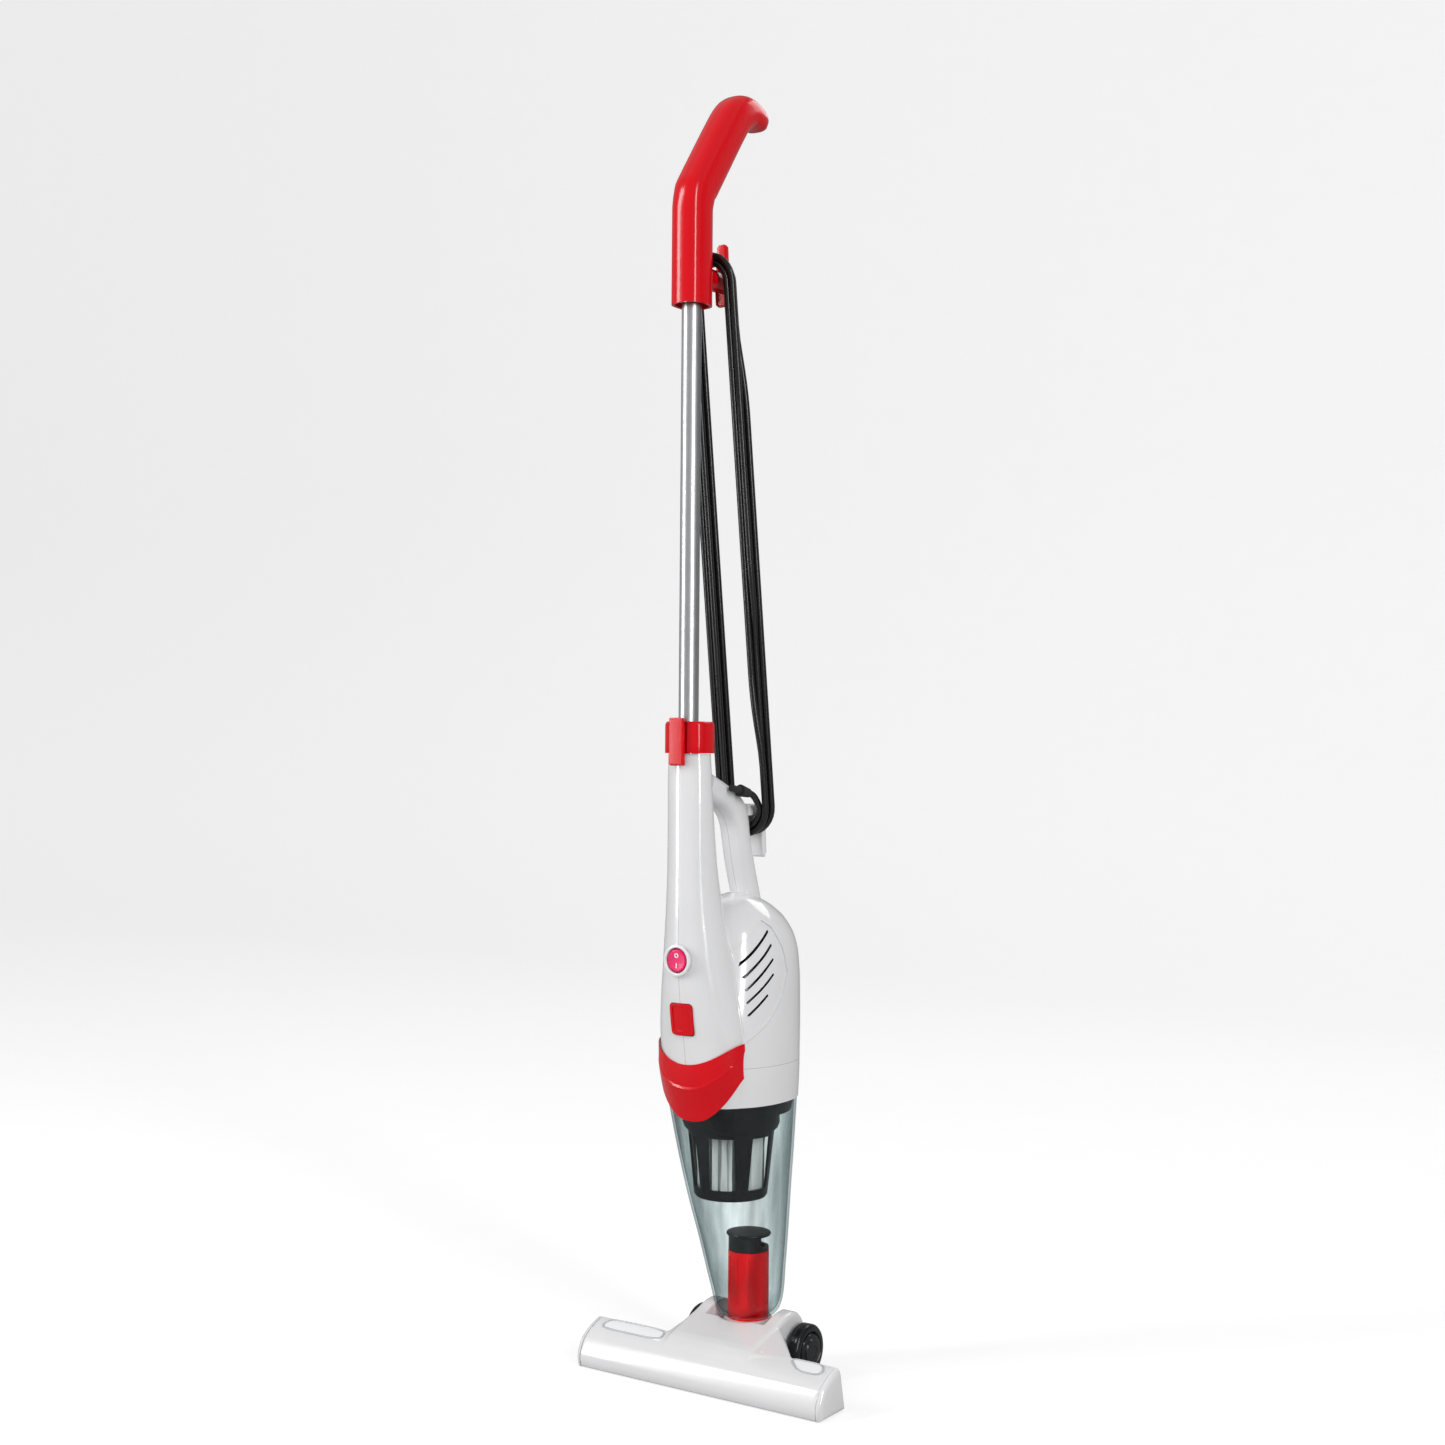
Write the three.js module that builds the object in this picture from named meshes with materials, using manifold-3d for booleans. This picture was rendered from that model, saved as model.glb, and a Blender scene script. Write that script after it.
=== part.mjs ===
// A light stick vacuum cleaner with a lift-off hand unit, in millimetres, +Z up, front towards -Y.
// Depths (Y) are measured from the stick tube's axis, and the finished cleaner is then moved so
// that the origin lies on the floor under the middle of its box.
import * as THREE from 'three';
import { mergeVertices } from 'three/addons/utils/BufferGeometryUtils.js';
import { ConvexGeometry } from 'three/addons/geometries/ConvexGeometry.js';
import Module from 'manifold-3d';

const wasm = await Module();
wasm.setup();

// ---- Driving dimensions -------------------------------------------------------------------
const GAP = 0.3;                    // clearance between touching pieces
const WALL = 2.6;                   // moulded shell thickness
const ORIGIN_Y = 58.45;               // depth of the middle of the cleaner's box

const NOZZLE_HALF = 121.5;          // half length of the floor head between its end caps
const NOZZLE_FRONT = 15, NOZZLE_BACK = 55, DECK_Z = 37.5;
const HUMP_HALF = 44;
const AXLE_Y = 107, WHEEL_R = 23, WHEEL_IN = 46.5, WHEEL_WIDTH = 13;
const INLET_Y = 98, INLET_R = 18;

const BODY_LOW = 243;               // lower edge of the white housing
const NECK_TOP = 541;
const TUBE_R = 8.5, TUBE_LOW = 505, TUBE_TOP = 1003;
const COLLAR_LOW = NECK_TOP + GAP, COLLAR_TOP = 568;
const GRIP_LOW = 920, GRIP_HALF = 15.5;
const SWITCH_Z = 368, BUTTON_Z = 318;
const MOTOR_Y = 74, MOTOR_R = 33;

const CORD_D = 5.8;                 // round flexible cord
const HANK_LOW_Z = 495, HANK_TOP_Z = 945;   // centres of the hank's two folds
const HANK_LOW_Y = 88.9, HANK_LEAN = 0.129; // depth at the lower fold, and depth lost per mm of height
const RELIEF_ROOT = [17.2, 38, 512.4], RELIEF_TIP = [18.4, 66, 507];
const HANK_R = 20.5, HANK_HALF_W = 5.9, HANK_DEPTH = 16;

// ---- Colours ------------------------------------------------------------------------------
const finish = {
  white: { color: 0xf1f1f2, roughness: 0.3, metalness: 0 },
  pale: { color: 0xe4e7e8, roughness: 0.15, metalness: 0 },
  red: { color: 0xcc0818, roughness: 0.22, metalness: 0 },
  pink: { color: 0xe8206e, roughness: 0.3, metalness: 0 },
  black: { color: 0x17191b, roughness: 0.4, metalness: 0 },
  rubber: { color: 0x1c1c1d, roughness: 0.8, metalness: 0 },
  clear: { color: 0xa9b8bc, roughness: 0.06, metalness: 0, transparent: true, opacity: 0.4 },
  felt: { color: 0x9c2029, roughness: 0.95, metalness: 0 },
  paper: { color: 0xe9ece9, roughness: 0.9, metalness: 0 },
  foam: { color: 0x4a4d50, roughness: 0.98, metalness: 0 },
  satin: { color: 0xc9cccd, roughness: 0.32, metalness: 1 },
  steel: { color: 0xb6b8ba, roughness: 0.28, metalness: 1 },
  brass: { color: 0xc9a659, roughness: 0.3, metalness: 1 },
  cord: { color: 0x141517, roughness: 0.38, metalness: 0 },
};

// ---- Small geometry kit -------------------------------------------------------------------
const AXIS_X = new THREE.Vector3(1, 0, 0);
const AXIS_Y = new THREE.Vector3(0, 1, 0);
const AXIS_Z = new THREE.Vector3(0, 0, 1);
const SIDE_PLANE = new THREE.Matrix4().makeBasis(AXIS_Y, AXIS_Z, AXIS_X);
const FRONT_PLANE = new THREE.Matrix4().makeBasis(AXIS_X, AXIS_Z, AXIS_Y.clone().negate());

// A closed geometry as a manifold solid.
function solid(geometry) {
  const bare = geometry.clone();
  bare.deleteAttribute('normal');
  bare.deleteAttribute('uv');
  const merged = mergeVertices(bare, 1e-4);
  const index = merged.index.array;
  const kept = [];
  for (let i = 0; i < index.length; i += 3) {
    const [a, b, c] = [index[i], index[i + 1], index[i + 2]];
    if (a !== b && b !== c && a !== c) kept.push(a, b, c);
  }
  return new wasm.Manifold(new wasm.Mesh({
    numProp: 3,
    vertProperties: new Float32Array(merged.attributes.position.array),
    triVerts: new Uint32Array(kept),
  }));
}

function geometryOf(body) {
  const mesh = body.getMesh();
  const geometry = new THREE.BufferGeometry();
  geometry.setAttribute('position', new THREE.BufferAttribute(new Float32Array(mesh.vertProperties), 3));
  geometry.setIndex(new THREE.BufferAttribute(new Uint32Array(mesh.triVerts), 1));
  return geometry;
}

const join = (first, ...rest) => rest.reduce((sum, piece) => sum.add(piece), first);
const cut = (first, ...rest) => rest.reduce((left, piece) => left.subtract(piece), first);

function box([x0, x1], [y0, y1], [z0, z1]) {
  const geometry = new THREE.BoxGeometry(x1 - x0, y1 - y0, z1 - z0);
  geometry.translate((x0 + x1) / 2, (y0 + y1) / 2, (z0 + z1) / 2);
  return solid(geometry);
}

// A round bar between two points.
function rod(from, to, radius, sides = 20, endRadius = radius) {
  const a = new THREE.Vector3(...from);
  const b = new THREE.Vector3(...to);
  const geometry = new THREE.CylinderGeometry(endRadius, radius, a.distanceTo(b), sides);
  const turn = new THREE.Quaternion().setFromUnitVectors(AXIS_Y, b.clone().sub(a).normalize());
  geometry.applyQuaternion(turn);
  geometry.translate(...a.add(b).multiplyScalar(0.5));
  return solid(geometry);
}

// A turned piece on a vertical axis: points are [radius, height], and the outline closes itself.
function turned(points, y = 0, sides = 26) {
  const closed = [...points, points[0]].map(([r, z]) => new THREE.Vector2(r, z));
  const geometry = new THREE.LatheGeometry(closed.reverse(), sides);
  geometry.rotateX(Math.PI / 2);
  geometry.translate(0, y, 0);
  const body = solid(geometry);
  return body.volume() < 0 ? solid(flipped(geometry)) : body;
}

// The same, on an axis along X through (y, z): points are [radius, x].
function turnedAcross(points, y, z, sides = 26) {
  return moved(turned(points, 0, sides), new THREE.Matrix4().makeBasis(
    AXIS_Y, AXIS_Z, AXIS_X).setPosition(0, y, z));
}

function flipped(geometry) {
  const copy = geometry.clone();
  const index = copy.index.array;
  for (let i = 0; i < index.length; i += 3) [index[i], index[i + 1]] = [index[i + 1], index[i]];
  return copy;
}

function moved(body, matrix) {
  const geometry = geometryOf(body);
  geometry.applyMatrix4(matrix);
  return solid(geometry);
}

const mirrored = (body) => {
  const geometry = geometryOf(body);
  geometry.scale(-1, 1, 1);
  return solid(flipped(geometry));
};

// A side outline, drawn in depth and height, given a width from x0 to x1 with rounded edges.
function sideSlab(shape, [x0, x1], round = 0, inset = 0, roundSteps = 2) {
  const geometry = new THREE.ExtrudeGeometry(shape, {
    depth: x1 - x0 - 2 * round, curveSegments: 6, bevelEnabled: round > 0,
    bevelThickness: round, bevelSize: round, bevelOffset: -round - inset, bevelSegments: roundSteps,
  });
  geometry.translate(0, 0, x0 + round);
  geometry.applyMatrix4(SIDE_PLANE);
  return solid(geometry);
}

// A front outline, drawn in width and height, running back from y0 to y1.
function frontSlab(shape, [y0, y1], round = 0) {
  const geometry = new THREE.ExtrudeGeometry(shape, {
    depth: y1 - y0 - 2 * round, curveSegments: 6, bevelEnabled: round > 0,
    bevelThickness: round, bevelSize: round, bevelOffset: -round, bevelSegments: 2,
  });
  geometry.applyMatrix4(FRONT_PLANE);
  geometry.translate(0, y1 - round, 0);
  return solid(geometry);
}

function planSlab(shape, [z0, z1]) {
  const geometry = new THREE.ExtrudeGeometry(shape, { depth: z1 - z0, bevelEnabled: false });
  geometry.translate(0, 0, z0);
  return solid(geometry);
}

const outline = (points) => new THREE.Shape(points.map(([a, b]) => new THREE.Vector2(a, b)));

// Closes a stack of rings, listed from the bottom up, into a solid.
function skinned(vertices, sides) {
  const index = [];
  const levels = vertices.length / 3 / sides;
  for (let level = 0; level + 1 < levels; level += 1) {
    for (let i = 0; i < sides; i += 1) {
      const [p, q] = [level * sides + i, level * sides + ((i + 1) % sides)];
      index.push(p, q, q + sides, p, q + sides, p + sides);
    }
  }
  const top = (levels - 1) * sides;
  for (let i = 1; i + 1 < sides; i += 1) {
    index.push(0, i + 1, i);
    index.push(top, top + i, top + i + 1);
  }
  const geometry = new THREE.BufferGeometry();
  geometry.setAttribute('position', new THREE.Float32BufferAttribute(vertices, 3));
  geometry.setIndex(index);
  return solid(geometry);
}

// A skin through level rings: each station is [height, middle depth, half width, half depth].
function loft(stations, sides = 32, power = 2.15) {
  const vertices = [];
  for (const [z, y, a, b] of stations) {
    for (let i = 0; i < sides; i += 1) {
      const turn = (2 * Math.PI * i) / sides;
      const [c, s] = [Math.cos(turn), Math.sin(turn)];
      vertices.push(a * Math.sign(c) * Math.abs(c) ** (2 / power),
        y + b * Math.sign(s) * Math.abs(s) ** (2 / power), z);
    }
  }
  return skinned(vertices, sides);
}

// A skin through leaning rings: each station is [depth, height, lean in degrees, half width, half thickness].
function swept(stations, sides = 22, power = 2.6) {
  const vertices = [];
  for (const [y, z, lean, a, b] of stations) {
    const tilt = THREE.MathUtils.degToRad(lean);
    for (let i = 0; i < sides; i += 1) {
      const turn = (2 * Math.PI * i) / sides;
      const [c, s] = [Math.cos(turn), Math.sin(turn)];
      const out = b * Math.sign(s) * Math.abs(s) ** (2 / power);
      vertices.push(a * Math.sign(c) * Math.abs(c) ** (2 / power), y + out * Math.cos(tilt), z - out * Math.sin(tilt));
    }
  }
  return skinned(vertices, sides);
}

// The same stations, shrunk inwards by a distance.
const shrunk = (stations, by) => stations.map(([z, y, a, b]) => [z, y, a - by, b - by]);

const hull = (points) => solid(new ConvexGeometry(points.map((p) => new THREE.Vector3(...p))));

// ---- The assembly ---------------------------------------------------------------------------
const cleaner = new THREE.Group();
cleaner.position.y = -ORIGIN_Y;

function piece(name, body, look) {
  const mesh = new THREE.Mesh(geometryOf(body), new THREE.MeshStandardMaterial(finish[look]));
  mesh.name = name;
  cleaner.add(mesh);
}

// ---- Floor head -----------------------------------------------------------------------------
// The head's side outline: a rounded front roll up to a crease, a deck that climbs from there to
// its back edge, and a sloping back.
const DECK_CREASE = [20, 25], DECK_SWELL = [29, 33], DECK_EDGE = [44, DECK_Z];

function headOutline(inset = 0) {
  const shape = new THREE.Shape();
  const creaseY = DECK_CREASE[0] + 0.9 * inset, creaseZ = DECK_CREASE[1] - 0.7 * inset;
  shape.moveTo(NOZZLE_FRONT + inset, 0.6);
  shape.quadraticCurveTo(NOZZLE_FRONT - 5.5 + inset, 12, creaseY, creaseZ);
  shape.quadraticCurveTo(DECK_SWELL[0] + 0.3 * inset, DECK_SWELL[1] - inset, DECK_EDGE[0] - inset, DECK_Z - inset);
  shape.quadraticCurveTo(NOZZLE_BACK - 8 - inset, DECK_Z - 1 - inset, NOZZLE_BACK - 7 - inset, DECK_Z - 5);
  shape.lineTo(NOZZLE_BACK - inset, 0.6);
  return shape;
}

const humpOutline = outline([[20.4, 6], [20.4, 24.8], [30, 32.8], [40, 38.4], [62, 45], [80, 50], [92, 54.5], [104, 56],
  [113, 53], [120, 46], [125, 34], [127, 18], [127, 6]]);
const leftPanelPlan = [[-112, 35], [-109, 40.5], [-104, 43], [-49, 43], [-47.5, 31], [-109, 31]];
const rightPanelPlan = [[79, 43], [108, 43], [112.5, 40.5], [115, 35], [112, 31], [93, 31]];

// The part of a plan that lies between two levels above the climbing deck.
function deckLayer(plan, low, high) {
  const climb = new THREE.QuadraticBezierCurve(...[DECK_CREASE, DECK_SWELL, DECK_EDGE].map((p) => new THREE.Vector2(...p)));
  const line = climb.getPoints(8).map((p) => [p.x, p.y]);
  const under = line.map(([y, z]) => [y, z + low]);
  const over = line.map(([y, z]) => [y, z + high]).reverse();
  return planSlab(outline(plan), [15, 50]).intersect(sideSlab(outline([...under, ...over]), [-119, 119]));
}

// The bowl in the hump that the cup's rounded foot stands over.
const saddle = loft([[45, INLET_Y, 22, 23], [50, INLET_Y, 27, 29], [60, 97, 34, 40], [80, 94, 38, 48]], 28);

function nozzleShell() {
  const roll = sideSlab(headOutline(), [-NOZZLE_HALF, NOZZLE_HALF]);
  const hump = sideSlab(humpOutline, [-HUMP_HALF, HUMP_HALF], 4);
  const flare = hull([[38, 22, 24.5], [38, 36, 36], [38, 84, 49], [43, 82, 47], [57, 72, 38.5], [80, 43, 37.2],
    [60, 24, 26], [38, 22, 18], [38, 84, 4], [58, 70, 4], [70, 50, 4], [76, 44, 20]]);
  const leftFillet = hull([[-38, 22, 24.5], [-38, 36, 36], [-38, 84, 49], [-43, 82, 47], [-48, 72, 38.5],
    [-48, 43, 37.2], [-46, 24, 26], [-38, 22, 18], [-38, 84, 4], [-48, 70, 4], [-47, 44, 20]]);
  const chamber = sideSlab(headOutline(WALL), [-NOZZLE_HALF + WALL, NOZZLE_HALF - WALL]);
  const throat = sideSlab(outline([[17.6, -2], [18.4, 14], [23, 22.6], [31, 29.6], [41, 34.8], [74, 44.5], [74, -2]]), [-40, 40]);
  const underside = box([-NOZZLE_HALF + WALL, NOZZLE_HALF - WALL], [17.6, 52.4], [-2, 6]);
  const neckSlot = box([-30.5, 30.5], [76.3, 140], [-2, 80]);
  const plateSeat = box([-43, 43], [50, 101], [-2, 3]);
  const leftSeat = deckLayer(grown(leftPanelPlan), -1.2, 5);
  const rightSeat = deckLayer(grown(rightPanelPlan), -1.2, 5);
  const bores = [-1, 1].flatMap((side) => [
    rod([side * 28, AXLE_Y, WHEEL_R], [side * 36.5, AXLE_Y, WHEEL_R], 6.4),
    rod([side * 28, AXLE_Y, WHEEL_R], [side * 50, AXLE_Y, WHEEL_R], 3.1, 10),
  ]);
  const outside = cut(join(roll, hump, flare, leftFillet), saddle);
  return cut(outside, chamber, throat, underside, neckSlot, plateSeat, leftSeat, rightSeat, ...bores);
}

// A plan outline pushed out from its middle by the fitting gap.
function grown(points, by = GAP) {
  const cx = points.reduce((sum, p) => sum + p[0], 0) / points.length;
  const cy = points.reduce((sum, p) => sum + p[1], 0) / points.length;
  return points.map(([x, y]) => {
    const reach = Math.hypot(x - cx, y - cy);
    return [x + ((x - cx) / reach) * by * 1.6, y + ((y - cy) / reach) * by * 1.6];
  });
}

function endCap(side) {
  const from = NOZZLE_HALF + GAP;
  const rim = headOutline().getPoints(6);
  const middle = new THREE.Vector2(36, 17);
  const layers = [[0, 1], [1.6, 0.99], [3.3, 0.93], [4.4, 0.78]];
  const points = layers.flatMap(([out, size]) => rim.map((p) => {
    const q = p.clone().sub(middle).multiplyScalar(size).add(middle);
    return [from + out, q.x, q.y];
  }));
  const cap = hull(points);
  return side > 0 ? cap : mirrored(cap);
}

function basePlate() {
  const plate = box([-118.5, 118.5], [18, 52], [0, 2.4]);
  const tongue = box([-40, 40], [50, 100], [0, 2.4]);
  const slot = box([-98, 98], [24.5, 37.5], [-1, 4]);
  const bristleSeat = box([-100, 100], [20, 23.2], [0.9, 4]);
  const feltSeat = box([-92, 92], [40, 46.5], [-1, 1.3]);
  return cut(join(plate, tongue), slot, bristleSeat, feltSeat);
}

piece('nozzle_shell', nozzleShell(), 'white');
piece('end_cap_left', endCap(-1), 'white');
piece('end_cap_right', endCap(1), 'white');
piece('deck_panel_left', deckLayer(leftPanelPlan, -0.9, 0.3), 'pale');
piece('deck_panel_right', deckLayer(rightPanelPlan, -0.9, 0.3), 'pale');
piece('base_plate', basePlate(), 'white');
piece('bristle_strip', box([-99.5, 99.5], [20.4, 22.8], [1.2, 9]), 'black');
piece('lint_pad', box([-91.6, 91.6], [40.4, 46.1], [0.05, 1]), 'felt');

// ---- Wheels ---------------------------------------------------------------------------------
const WHEEL_OUT = WHEEL_IN + WHEEL_WIDTH;

function wheel() {
  return turnedAcross([[3.2, WHEEL_IN], [20, WHEEL_IN], [WHEEL_R, WHEEL_IN + 3], [WHEEL_R, WHEEL_OUT - 3],
    [20.5, WHEEL_OUT], [15.6, WHEEL_OUT], [15.6, WHEEL_OUT - 3], [3.2, WHEEL_OUT - 3]], AXLE_Y, WHEEL_R, 28);
}

function hubCap() {
  return turnedAcross([[0, WHEEL_OUT - 2.7], [15.2, WHEEL_OUT - 2.7], [15.2, WHEEL_OUT + 0.4],
    [11, WHEEL_OUT + 1], [10.4, WHEEL_OUT + 2.2], [0, WHEEL_OUT + 2.6]], AXLE_Y, WHEEL_R, 20);
}

const wheelPin = rod([36.9, AXLE_Y, WHEEL_R], [WHEEL_OUT - 3.1, AXLE_Y, WHEEL_R], 2.8, 10);
piece('wheel_right', wheel(), 'black');
piece('wheel_left', mirrored(wheel()), 'black');
piece('hub_cap_right', hubCap(), 'black');
piece('hub_cap_left', mirrored(hubCap()), 'black');
piece('wheel_pin_right', wheelPin, 'steel');
piece('wheel_pin_left', mirrored(wheelPin), 'steel');

// ---- Neck: the pivoting socket that the hand unit's inlet plugs into --------------------------
function neckPivot() {
  const barrel = rod([-29.5, AXLE_Y, WHEEL_R], [29.5, AXLE_Y, WHEEL_R], 16, 24);
  const trunnions = rod([-36, AXLE_Y, WHEEL_R], [36, AXLE_Y, WHEEL_R], 6, 14);
  const socket = rod([0, INLET_Y, 15], [0, INLET_Y, 46], INLET_R + 3, 26);
  const bore = rod([0, INLET_Y, 30], [0, INLET_Y, 60], INLET_R + GAP, 26);
  const duct = box([-12, 12], [70, 108], [13, 36]);
  return cut(join(barrel, trunnions, socket), bore, duct);
}

piece('neck_pivot', neckPivot(), 'white');

// ---- Dust cup with its inlet ------------------------------------------------------------------
const CUP_TOP = BODY_LOW - GAP;
const cupStations = [[48, INLET_Y, 20.4, 20.4], [50.5, INLET_Y, 23.6, 25], [55, 98, 26.3, 30.5], [63, 98.2, 28, 34],
  [90, 94.5, 31.5, 39], [120, 90, 35.3, 44.5], [160, 82.8, 40.4, 52], [200, 77, 45.8, 57.6], [CUP_TOP, 71.5, 51, 62.4]];
const cupInside = [[50.6, INLET_Y, 19.5, 19.7], [52.7, 98, 22.2, 24.8], [56.5, 98, 24.3, 28.6],
  ...shrunk(cupStations.slice(3), 2.2), [CUP_TOP + 6, 70.8, 49.6, 61]];

function dustCup() {
  return cut(loft(cupStations, 28), loft(cupInside, 28),
    rod([0, INLET_Y, 40], [0, INLET_Y, 60], INLET_R + GAP, 26));
}

function inletTube() {
  const tube = turned([[15.4, 31], [INLET_R, 31], [INLET_R, 104.7], [15.4, 104.7]], INLET_Y);
  const ribs = [-0.55, 0, 0.55].map((x) => rod([17.6 * Math.sin(x), INLET_Y - 17.6 * Math.cos(x), 60],
    [17.6 * Math.sin(x), INLET_Y - 17.6 * Math.cos(x), 100], 1.2, 8));
  return join(tube, ...ribs);
}

function inletDeflector() {
  const wall = turned([[14.6, 105], [17.8, 105], [17.8, 117.5], [14.6, 117.5]], INLET_Y);
  return wall.subtract(box([2, 30], [INLET_Y - 6, INLET_Y + 30], [108, 130]));
}

piece('dust_cup', dustCup(), 'clear');
piece('inlet_tube', inletTube(), 'red');
piece('inlet_deflector', inletDeflector(), 'black');
piece('inlet_flap', turned([[0, 117.9], [19.4, 117.9], [19.8, 119], [19.4, 120.2], [0, 121.4]], INLET_Y), 'black');

// ---- Filter -----------------------------------------------------------------------------------
const FILTER_Y = 69;

function filterRing() {
  const flange = loft([[231, 72.5, 46, 56.5], [BODY_LOW - 1, 71.8, 47.8, 59]], 28);
  const step = turned([[0, 217], [40.5, 217], [42.5, 222], [42.5, 233], [0, 233]], FILTER_Y, 28);
  const airway = rod([0, FILTER_Y, 200], [0, FILTER_Y, 260], 34, 28);
  return cut(join(flange, step), airway);
}

function filterBasket() {
  const cup = turned([[0, 158], [30.5, 158], [32, 160], [38, 216.7], [35.8, 216.7], [30, 162], [0, 162]],
    FILTER_Y, 28);
  const windows = [];
  for (let i = 0; i < 6; i += 1) {
    const hole = new THREE.BoxGeometry(22, 20, 45);
    hole.translate(0, 34, 190);
    hole.rotateZ((Math.PI / 3) * (i + 0.35));
    hole.translate(0, FILTER_Y, 0);
    windows.push(solid(hole));
  }
  return cut(cup, ...windows);
}

function filterPleats() {
  const pleats = 20;
  const points = [];
  for (let i = 0; i < 2 * pleats; i += 1) {
    const radius = i % 2 ? 24.5 : 29;
    const turn = (Math.PI * i) / pleats;
    points.push([radius * Math.cos(turn), FILTER_Y + radius * Math.sin(turn)]);
  }
  const shape = outline(points);
  shape.holes.push(new THREE.Path().absarc(0, FILTER_Y, 20, 0, 2 * Math.PI, true));
  return planSlab(shape, [162.4, 229]);
}

piece('filter_ring', filterRing(), 'black');
piece('filter_basket', filterBasket(), 'black');
piece('filter_pleats', filterPleats(), 'paper');
piece('filter_seal', loft([[BODY_LOW - 0.7, 71.8, 46.4, 57.4], [BODY_LOW + 2, 71.8, 46.4, 57.4]], 28)
  .subtract(rod([0, FILTER_Y, 230], [0, FILTER_Y, 260], 36, 26)), 'rubber');

// ---- Hand unit housing --------------------------------------------------------------------------
const podStations = [[BODY_LOW, 36.5, 40, 29], [270, 31.5, 40.5, 30.3], [298, 27, 39.5, 30], [318, 24, 37, 31],
  [340, 21, 33.5, 31], [362, 18.3, 30, 30], [384, 14.5, 27, 26.5], [410, 11, 23.8, 23.4], [444, 7.5, 21.3, 20],
  [480, 5, 20.2, 17.4], [515, 3, 19.6, 15.6], [NECK_TOP, 2, 18.8, 14.6]];
const coreStations = [[BODY_LOW, 71.5, 52, 63.4], [270, 71.5, 53, 64.4], [305, 72.5, 53, 63.5], [340, 74.5, 52, 61.5],
  [366, 78, 49, 57.5], [384, 80, 44, 51.5], [398, 79, 37, 43], [409, 76, 28, 32], [416, 73.5, 18, 20],
  [420, 72.5, 7, 7]];
const podInside = [[BODY_LOW - 5, 37, 37, 26.4], ...shrunk(podStations, WALL).slice(0, -2)];
const coreInside = [[BODY_LOW - 5, 71.5, 48.6, 60.6], ...shrunk(coreStations.slice(0, -3), WALL),
  [407, 76, 22, 26]];

// The D-shaped carrying grip: it leaves the neck's back, bends down and runs into the dome.
const gripOutline = outline([[6, 527], [14, 529], [24, 526], [52, 514], [66, 507.5], [76, 501], [80.5, 492],
  [81.8, 478], [85.5, 462], [91.5, 444], [98, 425], [105, 404], [108, 390], [84, 384], [82, 404], [74, 425],
  [67.5, 445], [62.5, 463], [60, 474], [56.5, 482], [49, 489], [36, 498], [26, 505], [19, 503], [12, 495], [6, 490]]);

const ventSlots = [
  { from: [32, 362], to: [65, 389] }, { from: [33.5, 352], to: [64, 377.5] }, { from: [33.5, 341.5], to: [62.5, 365.5] },
  { from: [33.5, 331], to: [60.5, 353] }, { from: [34, 320.5], to: [52, 336] },
];

function ventCut({ from, to }, side) {
  const [dy, dz] = [to[0] - from[0], to[1] - from[1]];
  const bar = new THREE.BoxGeometry(30, Math.hypot(dy, dz), 2.2);
  bar.rotateX(Math.atan2(dz, dy));
  bar.translate(side * 46, (from[0] + to[0]) / 2, (from[1] + to[1]) / 2);
  return solid(bar);
}

const housingScrews = [[6, 478, 19.5], [25, 346, 31], [118, 330, 34]];
const releaseOutline = roundedRect(0, BUTTON_Z, 22, 26.6, 3);

function roundedRect(cx, cy, width, height, radius) {
  const [w, h] = [width / 2 - radius, height / 2 - radius];
  const shape = new THREE.Shape();
  shape.absarc(cx + w, cy + h, radius, 0, Math.PI / 2);
  shape.absarc(cx - w, cy + h, radius, Math.PI / 2, Math.PI);
  shape.absarc(cx - w, cy - h, radius, Math.PI, 1.5 * Math.PI);
  shape.absarc(cx + w, cy - h, radius, 1.5 * Math.PI, 2 * Math.PI);
  return shape;
}

const pod = loft(podStations, 24);
const tubeSocket = rod([0, 0, TUBE_LOW - 1], [0, 0, NECK_TOP + 5], TUBE_R + GAP, 24);

function housing() {
  const outside = join(pod, loft(coreStations, 28), sideSlab(gripOutline, [-12, 12], 4),
    box([10, 23.5], [40, 50], [504, 519]));
  const inside = join(loft(podInside, 24), loft(coreInside, 28));
  const bosses = housingScrews.map(([y, z, x]) => rod([-x, y, z], [x, y, z], 4.6, 10));
  const skin = join(outside.subtract(inside), ...bosses.map((boss) => boss.intersect(outside)));
  const screwHoles = housingScrews.flatMap(([y, z, x]) => [
    rod([-x - 30, y, z], [-x + 2.3, y, z], 3.5, 10), rod([-x, y, z], [9, y, z], 1.8, 8)]);
  const vents = ventSlots.flatMap((slot) => [ventCut(slot, 1), ventCut(slot, -1)]);
  const switchHole = rod([0, -30, SWITCH_Z], [0, 0, SWITCH_Z], 12.3, 28);
  const buttonHole = frontSlab(roundedRect(0, BUTTON_Z, 22 + 2 * GAP, 26.6 + 2 * GAP, 3), [-30, 12]);
  const hookSeat = box([-10.3, 10.3], [79.6, 90], [486.7, 497.3]);
  const gland = rod(RELIEF_ROOT, RELIEF_TIP, 3.5, 14);
  return cut(skin, tubeSocket, ...screwHoles, ...vents, switchHole, buttonHole, hookSeat, gland);
}

const whole = housing();
piece('housing_right', whole.subtract(box([-80, GAP / 2], [-50, 170], [200, 560])), 'white');
piece('housing_left', whole.subtract(box([-GAP / 2, 80], [-50, 170], [200, 560])), 'white');
housingScrews.forEach(([y, z, x], i) => {
  const screw = join(rod([-x + 2, y, z], [-x + 0.2, y, z], 3.1, 10), rod([-x + 1, y, z], [6, y, z], 1.5, 8));
  piece(`housing_screw_${i + 1}`, screw, 'steel');
});

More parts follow.
